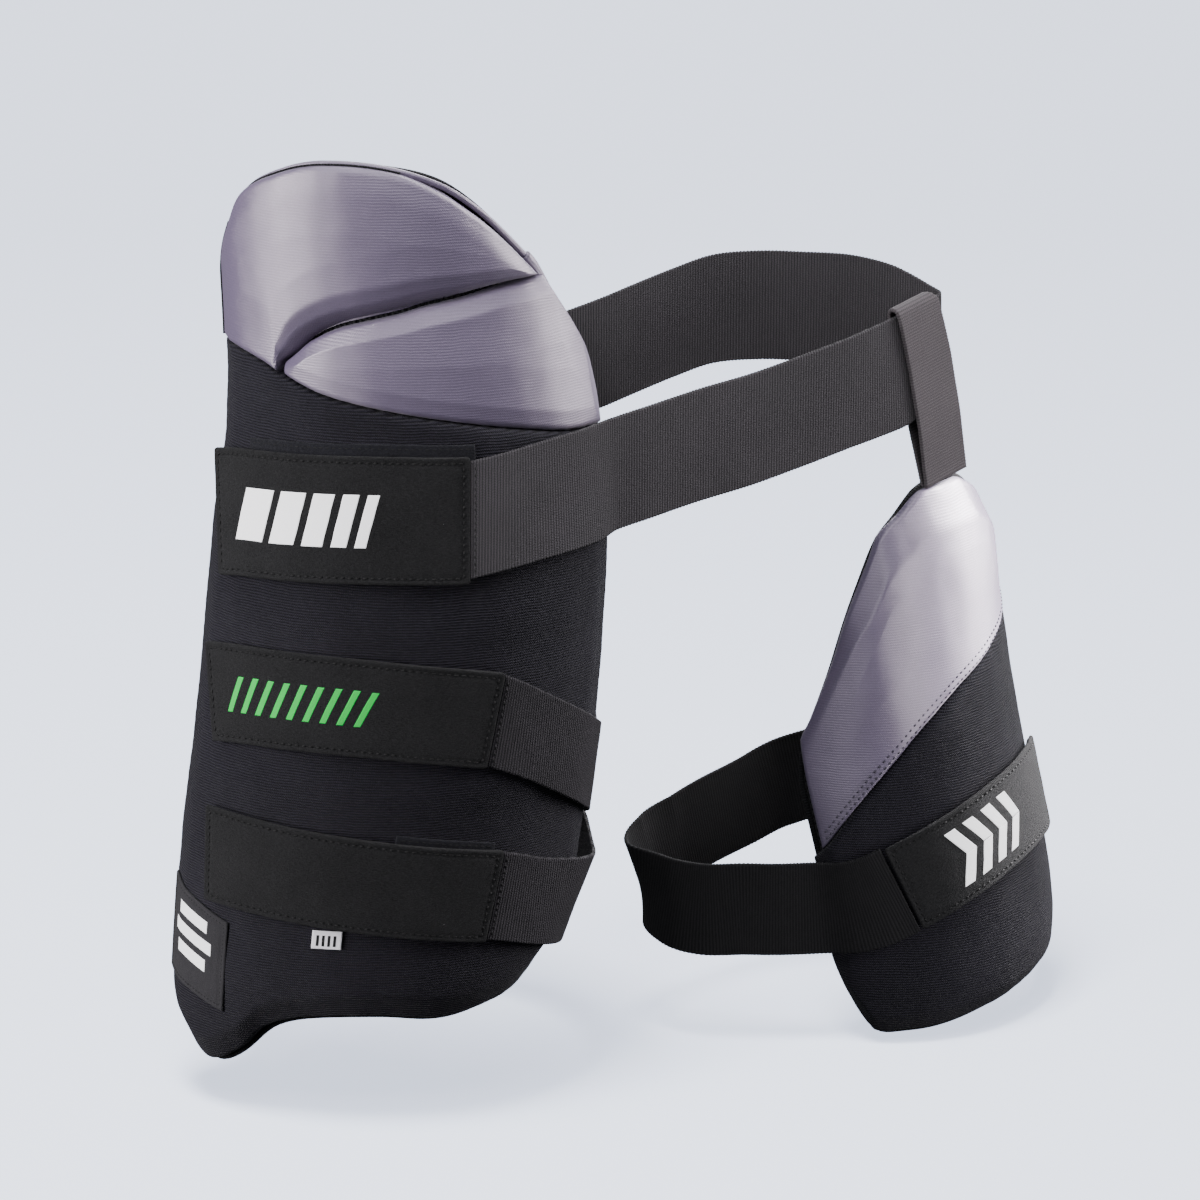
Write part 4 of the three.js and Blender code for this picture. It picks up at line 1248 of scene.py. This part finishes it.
on_guard = [[row[0], row[1], row[2] + ELASTIC / 2] for row in WAIST_ON_GUARD]
waist_course = line_stops(outer_leg, on_guard, WAIST_TAB_END + end_step, 58, 7, 0)
waist_course += [free_stop(row) for row in WAIST_FREE]
waist_inside = BACK_INSIDE - GAP + ELASTIC / 2
waist_course += [leg_stop(outer_leg, row[0], row[1], waist_inside) for row in WAIST_INSIDE]
waist_loop = course(waist_course, 900, end_direction(waist_stops))
elastic("waist_elastic", waist_loop, WAIST_WIDE, "waist_strap", waist_elastic_shaded_paint)

inner_course = [leg_stop(inner_leg, row[0], row[1], ON_PAD + ELASTIC / 2) for row in INNER_ON_PAD]
inner_course += [free_stop(row) for row in INNER_FREE]
inner_inside = -INNER_FOAM - GAP - LINING - GAP - 1 - ELASTIC / 2
inner_course += [leg_stop(inner_leg, row[0], row[1], inner_inside) for row in INNER_INSIDE]
inner_loop = course(inner_course[::-1], 600)
elastic("inner_elastic", inner_loop, INNER_WIDE, "inner_strap", inner_elastic_shaded_paint)

# Hanger strap, folded over the waist strap
hanger_along = unit(HANGER_ALONG)
hanger_up = np.array([*HANGER_LEAN, 1.0])
hanger_up = unit(hanger_up - hanger_along * np.dot(hanger_up, hanger_along))
hanger_out = unit(np.cross(hanger_along, hanger_up))
fold_high = WAIST_WIDE / 2 + 2 * GAP + ELASTIC / 2 - HANGER_SPREAD + 1


def hanger_layer(share, side):
    """Point of the front or back layer, at a share of the drop from the top."""
    narrow = max(0, (share - 0.5) / 0.5)
    gap = HANGER_SPREAD + (HANGER_FOOT_SPREAD - HANGER_SPREAD) * narrow
    return (np.array(HANGER_TOP) - hanger_up * HANGER_DROP * share + hanger_along * HANGER_SHIFT * share
            + hanger_out * side * gap)


hanger_shares = [1, 0.85, 0.7, 0.5, 0.25, 0]
hanger_points = [hanger_layer(share, 1) for share in hanger_shares]
for k in range(HANGER_FOLD_STEPS + 1):
    angle = math.pi * k / HANGER_FOLD_STEPS
    hanger_points.append(np.array(HANGER_TOP) + hanger_up * (fold_high + HANGER_SPREAD * math.sin(angle))
                         + hanger_out * HANGER_SPREAD * math.cos(angle))
hanger_points += [hanger_layer(share, -1) for share in hanger_shares[::-1]]
hanger_t = np.linspace(0, 1, HANGER_RINGS)
hanger_middle = spline(hanger_points, hanger_t)
hanger_run = unit(np.gradient(hanger_middle, axis=0))
hanger_normal = unit(np.cross(hanger_along, hanger_run))
hanger_index = hanger_t * (len(hanger_points) - 1)
hanger_fold = np.clip((hanger_index - len(hanger_shares) + 1) / (HANGER_FOLD_STEPS + 1), 0, 1)
hanger_back = HANGER_BACK_NOTCH * hanger_fold
hanger_band = Band(hanger_middle, np.repeat(hanger_along[None, :], HANGER_RINGS, 0), hanger_normal)


def hanger_strap():
    """Folded strap whose back layer is set back on one side."""
    s = np.arange(0, hanger_band.length, 0.75)
    s = np.append(s, hanger_band.length)
    notch = np.interp(s, hanger_band.s, hanger_back)
    wave = TOOTH * np.where(np.arange(len(s)) % 2 == 0, 1, -1)
    low = -HANGER_WIDE / 2 - wave
    high = HANGER_WIDE / 2 - notch + wave
    across = spread(low, high, 10)
    edge = np.minimum(across - low[:, None], high[:, None] - across)
    along = np.repeat(s[:, None], across.shape[1], 1)
    front = hanger_band.place(along, across, ELASTIC / 2 - roll(edge, 0.6))
    back = hanger_band.place(along, across, -ELASTIC / 2 + roll(edge, 0.4))
    points, faces, rim = closed(back[:, ::-1], front[:, ::-1], 1)
    flat = np.stack([along[:, ::-1].ravel(), across[:, ::-1].ravel()], 1)
    uv = np.vstack([flat, flat, flat[rim]])
    build("hanger_elastic", points, faces, uv, hanger_paint, ["hanger_strap"])


hanger_strap()

sewn_ends = []
for band, half in ((upper_elastic, 18.5), (lower_elastic, 18.5), (waist_loop, 23)):
    sewn_ends.append(cross_row(band, 2.0, half, ELASTIC / 2 - 0.05))
stitches("elastic_joint_stitches", sewn_ends, thread_paint, pitch=2.8, length=1.9, thick=0.42)

# Badge on the lower left slope, and the size label
BADGE_LEFT = -68
BADGE_RIGHT = -40
BADGE_FACE = GAP + 1.1


def under_badge(turn, z):
    """How far the slope lies below the pad's face, under the badge."""
    return 3.2 * np.maximum(0, 1 - (turn - body_left) * OUTER_HALF * math.pi / 180 / 17)


def badge_share(turn):
    """Share of the badge's width, from its left."""
    return (turn - BADGE_LEFT) / (BADGE_RIGHT - BADGE_LEFT)


def badge_bottom(turn):
    """Bottom edge of the badge."""
    return -250 - 10 * badge_share(turn)


def badge_top(turn):
    """Top edge of the badge."""
    return -205.5 - 12.5 * badge_share(turn)


def badge_relief(turn, z, edge):
    """Dent along the badge's sewn line."""
    return -0.35 * np.exp(-((edge - 2.6) / 0.8) ** 2)


pad("badge_cloth_patch", outer_leg, {
    "radius": OUTER_HALF, "left": BADGE_LEFT, "right": BADGE_RIGHT, "columns": 50, "rows": 46,
    "bottom": badge_bottom, "top": badge_top, "under": under_badge,
    "face": BADGE_FACE, "back": GAP - 0.2, "bevel": FLAT, "edge": 0.5, "wall": 1, "relief": badge_relief,
}, badge_paint, ["badge_patch"])


def on_badge(turn, z, h):
    """Point at height h over the badge's face."""
    return outer_leg(turn, z, BADGE_FACE + h - under_badge(turn, z))


def badge_row(inset_turn, inset):
    """Sewn line round the badge, by its distance from the edge in degrees and in height."""
    path = outline(BADGE_LEFT + inset_turn, BADGE_RIGHT - inset_turn, lambda t: badge_bottom(t) + inset,
                   lambda t: badge_top(t) - inset, OUTER_HALF, 1.5)
    path = np.vstack([path, path[:1]])
    points = on_badge(path[:, 0], path[:, 1], -0.25)
    return points, on_badge(path[:, 0], path[:, 1], 3) - points


stitches("badge_stitches", [badge_row(1.3, 2.0)], thread_paint, pitch=1.9, length=1.3, thick=0.26)


def badge_bar(name, turn, z, long, tall):
    """Short raised bar on the badge."""
    turns = spread(turn - long / 2, turn + long / 2, 8)[0]
    heights = spread(z - tall / 2, z + tall / 2, 4)[0]
    grid_turn, grid_z = np.meshgrid(turns, heights, indexing="ij")
    tilt = -0.4 * (grid_turn - turn)
    front = on_badge(grid_turn, grid_z + tilt, 0.1)
    back = on_badge(grid_turn, grid_z + tilt, -0.2)
    points, faces, _ = closed(front, back, 0)
    flat = np.stack([grid_turn.ravel(), grid_z.ravel()], 1)
    build(name, points, faces, np.vstack([flat, flat]), white_paint)


for k, (long, z) in enumerate(((13, -220.5), (17, -229.5), (13, -238.5))):
    badge_bar(f"badge_bar_{k + 1}", -54, z, long, 5.6)


def level(z):
    """Straight edge at one height."""
    return lambda turn: z + 0 * turn


def label_relief(turn, z, edge):
    """Lift of the label over the body's swell."""
    return 0.5 * between(z, -262, -214) + 0.1


pad("size_label_tape", outer_leg, {
    "radius": OUTER_HALF, "left": -14.8, "right": -6.9, "columns": 16, "rows": 10,
    "bottom": level(-223), "top": level(-214.6),
    "face": GAP + 0.9, "back": GAP + 0.3, "bevel": FLAT, "edge": 0.2, "wall": 1,
    "relief": label_relief,
}, label_paint, ["size_label"])

for k in range(4):
    pad(f"size_label_bar_{k + 1}", outer_leg, {
        "radius": OUTER_HALF, "left": -13.6 + 1.5 * k, "right": -12.9 + 1.5 * k, "columns": 3, "rows": 4,
        "bottom": level(-221.6), "top": level(-216.6),
        "face": GAP + 1.05, "back": GAP + 0.8, "bevel": FLAT, "edge": 0.1, "wall": 0,
        "relief": label_relief,
    }, thread_paint)


# Inner guard


def inner_turn(share):
    """Turn in degrees at a share of the half wrap from the inner guard's middle."""
    return INNER_MIDDLE + INNER_WRAP * share


inner_lining_face = -INNER_FOAM - LINING_GAP
inner_right = inner_turn(1)
inner_seam_at = inner_at(INNER_SEAM)


def inner_body_relief(turn, z, edge):
    """Swell of the inner body below its strap."""
    swell = 0.9 * between(z, -300, -255) * np.clip((edge - 6) / 12, 0, 1)
    return swell + ripple(turn, z) + pucker(edge, turn * 1.4 + z * 0.4, 3.0, 0.2)


def inner_panel_relief(turn, z, edge):
    """Crown of the inner panel, which fades toward its seam."""
    crown = 1.0 * np.clip((edge - 8) / 22, 0, 1) ** 1.5 * np.clip((z + 170) / 30, 0, 1)
    return crown + 0.6 * ripple(turn, z) + pucker(edge, turn * 1.4, 2.6, 0.16)


def inner_lining_top(turn):
    """Top edge of the inner lining, which stays behind the panel at the left."""
    left = np.clip((inner_turn(0.1) - np.asarray(turn, float)) / 20, 0, 1)
    return inner_at(INNER_TOP)(turn) - 3.5 * left


inner_lining = pad("inner_lining_cloth", inner_leg, {
    "radius": INNER_RADIUS, "left": inner_turn(INNER_LEFT) + 1, "right": inner_right, "columns": 66,
    "rows": 72, "bottom": inner_at(INNER_BOTTOM), "top": inner_lining_top,
    "face": inner_lining_face, "back": inner_lining_face - LINING, "bevel": FLAT, "edge": 0.9, "wall": 1,
    "relief": lining_relief,
}, lining_paint, ["inner_lining"])

inner_body = pad("inner_body_cover", inner_leg, {
    "radius": INNER_RADIUS, "left": inner_turn(INNER_LEFT), "right": inner_right - 1, "columns": 130,
    "rows": 90, "bottom": inner_at(INNER_BOTTOM, RIM), "top": inner_at(INNER_SEAM, -SEAM_GAP / 2),
    "face": 0, "back": -INNER_FOAM,
    "bevel": {"left": [12, 6.5], "right": [12, 6], "bottom": [9, 6], "top": [3, 1.2]},
    "relief": inner_body_relief,
}, black_paint, ["inner_body"])


def inner_left_slope(u, z):
    """Left slope of the inner panel: a clear ridge at the top that softens downward."""
    d = u - inner_turn(INNER_PANEL_LEFT) * INNER_RADIUS * math.pi / 180
    soft = np.clip((-135 - z) / 45, 0, 1)
    return ramp(d, 42 - 12 * soft, 6.5 - 2.5 * soft, 0.05 + 0.75 * soft)


inner_panel = pad("inner_panel_cover", inner_leg, {
    "radius": INNER_RADIUS, "left": inner_turn(INNER_PANEL_LEFT), "right": inner_right - 1,
    "columns": 140, "rows": 100,
    "bottom": inner_at(INNER_SEAM, SEAM_GAP / 2), "top": inner_at(INNER_TOP, -RIM),
    "face": 0, "back": -INNER_FOAM,
    "bevel": {"left": [2, 1.5], "right": [12, 6], "bottom": [3, 1.2], "top": [17, 6]},
    "relief": inner_panel_relief, "cut": inner_left_slope,
}, grey_paint, ["inner_panel"])

inner_rim = outline(inner_turn(INNER_LEFT) + 1, inner_right, inner_at(INNER_BOTTOM), inner_lining_top,
                    INNER_RADIUS)
binding("inner_edging", inner_leg, inner_rim, -INNER_FOAM - 1, 2.4, 3.0)

patch("inner_loop_patch", inner_leg, INNER_TAB_LINE, 22, 80, 18, 18, INNER_RADIUS, "inner_patch")

inner_seam_turns = np.linspace(inner_turn(INNER_PANEL_LEFT) + 3, inner_right - 5, 150)
stitches("inner_seam_stitches", [
    leg_row(inner_leg, inner_seam_turns, inner_seam_at(inner_seam_turns) + 3.2, -0.05),
    leg_row(inner_leg, inner_seam_turns, inner_seam_at(inner_seam_turns) + 6.4, 0.0),
], grey_thread_paint, pitch=3.0, length=1.5, thick=0.4)


# Floor, backdrop, light and camera

FLOOR_Z = -0.3085
FLOOR_FRONT = -4.0
FLOOR_BACK = 1.6
SWEEP = 1.2
SWEEP_STEPS = 16
WALL_TOP = 4.0
FLOOR_HALF_WIDTH = 5.0


def backdrop():
    """Floor that curves up into a wall behind the object."""
    profile = [(y, FLOOR_Z) for y in np.linspace(FLOOR_FRONT, FLOOR_BACK, 12)]
    for k in range(1, SWEEP_STEPS + 1):
        a = math.pi / 2 * k / SWEEP_STEPS
        profile.append((FLOOR_BACK + SWEEP * math.sin(a), FLOOR_Z + SWEEP * (1 - math.cos(a))))
    profile.append((FLOOR_BACK + SWEEP, WALL_TOP))
    verts = []
    for x in (-FLOOR_HALF_WIDTH, FLOOR_HALF_WIDTH):
        verts += [(x, y, z) for y, z in profile]
    n = len(profile)
    faces = [[k, k + n, k + n + 1, k + 1] for k in range(n - 1)]
    mesh = bpy.data.meshes.new("backdrop")
    mesh.from_pydata(verts, [], faces)
    mesh.polygons.foreach_set("use_smooth", [True] * len(mesh.polygons))
    sheet = bpy.data.objects.new("backdrop", mesh)
    bpy.context.scene.collection.objects.link(sheet)
    paint = bpy.data.materials.new("backdrop")
    paint.use_nodes = True
    shader = paint.node_tree.nodes["Principled BSDF"]
    noise = paint.node_tree.nodes.new("ShaderNodeTexNoise")
    noise.inputs["Scale"].default_value = 1.5
    mix = paint.node_tree.nodes.new("ShaderNodeMix")
    mix.data_type = "RGBA"
    colours = [socket for socket in mix.inputs if socket.type == "RGBA"]
    colours[0].default_value = (0.80, 0.83, 0.91, 1)
    colours[1].default_value = (0.83, 0.86, 0.94, 1)
    paint.node_tree.links.new(noise.outputs["Fac"], mix.inputs[0])
    result = [socket for socket in mix.outputs if socket.type == "RGBA"][0]
    paint.node_tree.links.new(result, shader.inputs["Base Color"])
    shader.inputs["Roughness"].default_value = 0.8
    shader.inputs["Specular IOR Level"].default_value = 0.2
    shader.inputs["Emission Color"].default_value = (0.78, 0.86, 1.08, 1)
    shader.inputs["Emission Strength"].default_value = 1.5
    mesh.materials.append(paint)
    sheet.visible_diffuse = False
    sheet.visible_glossy = False


def light(name, place, aim, size, watts, colour, lit=None):
    """Soft square light aimed at a point. With lit it lights only those objects, as with flags on a set."""
    lamp = bpy.data.lights.new(name, "AREA")
    lamp.shape = "RECTANGLE"
    lamp.size = size[0]
    lamp.size_y = size[1]
    lamp.energy = watts
    lamp.color = colour
    holder = bpy.data.objects.new(name, lamp)
    bpy.context.scene.collection.objects.link(holder)
    holder.location = place
    holder.rotation_euler = (Vector(aim) - Vector(place)).to_track_quat("-Z", "Y").to_euler()
    if lit:
        group = bpy.data.collections.new(name)
        for piece in lit:
            group.objects.link(piece)
        holder.light_linking.receiver_collection = group


backdrop()
meshes = [piece for piece in bpy.context.scene.objects if piece.type == "MESH"]
pieces = [piece for piece in meshes if piece.name != "backdrop"]
inner_pieces = [piece for piece in pieces if piece.name.startswith("inner")]
other_pieces = [piece for piece in pieces if piece not in inner_pieces]
pale_names = ("inner_panel", "inner_edging", "inner_tab")
pale_pieces = [piece for piece in inner_pieces if piece.name.startswith(pale_names)]
dark_pieces = [piece for piece in inner_pieces if piece not in pale_pieces]
strap_pieces = [piece for piece in pieces if piece.name.startswith("waist_elastic")]
floor_pieces = [bpy.context.scene.objects["backdrop"]]
PLAIN = (1, 0.975, 0.99)
COOL = (0.97, 0.98, 1)
light("left_light", (-1.68, -0.89, 0.4), (-0.05, 0, -0.05), (1.1, 1.35), 73, PLAIN, other_pieces)
light("right_light", (1.3, 0.12, 0.5), (0.08, 0, -0.05), (0.9, 1.3), 47, PLAIN, other_pieces)
light("near_right_light", (0.72, 0.36, 0.2), (0.15, 0.03, -0.1), (0.3, 0.5), 48, PLAIN, pale_pieces)
light("low_right_light", (0.72, 0.36, 0.2), (0.15, 0.03, -0.1), (0.3, 0.5), 13, PLAIN, dark_pieces)
light("inner_guard_light", (0.45, -0.2, -0.1), (0.17, 0.0, -0.18), (0.1, 0.4), 1.6, PLAIN, inner_pieces)
light("inner_fill_light", (-0.4, -1.8, 0.4), (0.15, 0.03, -0.1), (0.8, 0.8), 9, COOL, inner_pieces)
light("back_strap_light", (-0.25, -0.9, 0.75), (0.03, 0.11, 0.02), (0.3, 0.3), 29, PLAIN, strap_pieces)
light("strap_end_light", (0.42, -0.32, 0.3), (0.1, 0.0, 0.02), (0.25, 0.25), 2.5, PLAIN, strap_pieces)
light("high_front_light", (-0.1, -1.3, 2.1), (0.03, 0.02, 0), (1.0, 0.8), 18, COOL)
light("top_light", (0.0, 0.3, 3.2), (0, 0.3, -0.3), (3.5, 3.5), 105, COOL, pieces)
light("floor_light", (-0.35, -0.6, 2.4), (0.05, 0.1, -0.3), (0.75, 0.75), 105, COOL, floor_pieces)
light("back_light", (0.3, 1.45, 0.7), (0, 0, -0.05), (1.2, 0.8), 34, COOL, pieces)

# The world is dim for the object and pale for the camera
world = bpy.data.worlds.new("studio")
world.use_nodes = True
nodes = world.node_tree.nodes
links = world.node_tree.links
nodes["Background"].inputs["Color"].default_value = (0.80, 0.84, 0.92, 1)
nodes["Background"].inputs["Strength"].default_value = 0.12
seen = nodes.new("ShaderNodeBackground")
seen.inputs["Color"].default_value = (0.72, 0.79, 0.98, 1)
seen.inputs["Strength"].default_value = 1.5
rays = nodes.new("ShaderNodeLightPath")
either = nodes.new("ShaderNodeMixShader")
links.new(rays.outputs["Is Camera Ray"], either.inputs[0])
links.new(nodes["Background"].outputs[0], either.inputs[1])
links.new(seen.outputs[0], either.inputs[2])
links.new(either.outputs[0], nodes["World Output"].inputs["Surface"])
bpy.context.scene.world = world

CAMERA_AT = (0.006, -1.9021, 0.527)
CAMERA_DOWN = 18
LENS = 138
camera_data = bpy.data.cameras.new("camera")
camera_data.lens = LENS
camera_data.sensor_width = 36
camera_data.sensor_fit = "HORIZONTAL"
camera_data.clip_start = 0.05
camera_data.clip_end = 30
camera = bpy.data.objects.new("camera", camera_data)
camera.location = CAMERA_AT
camera.rotation_euler = (math.radians(90 - CAMERA_DOWN), 0, 0)
bpy.context.scene.collection.objects.link(camera)
bpy.context.scene.camera = camera
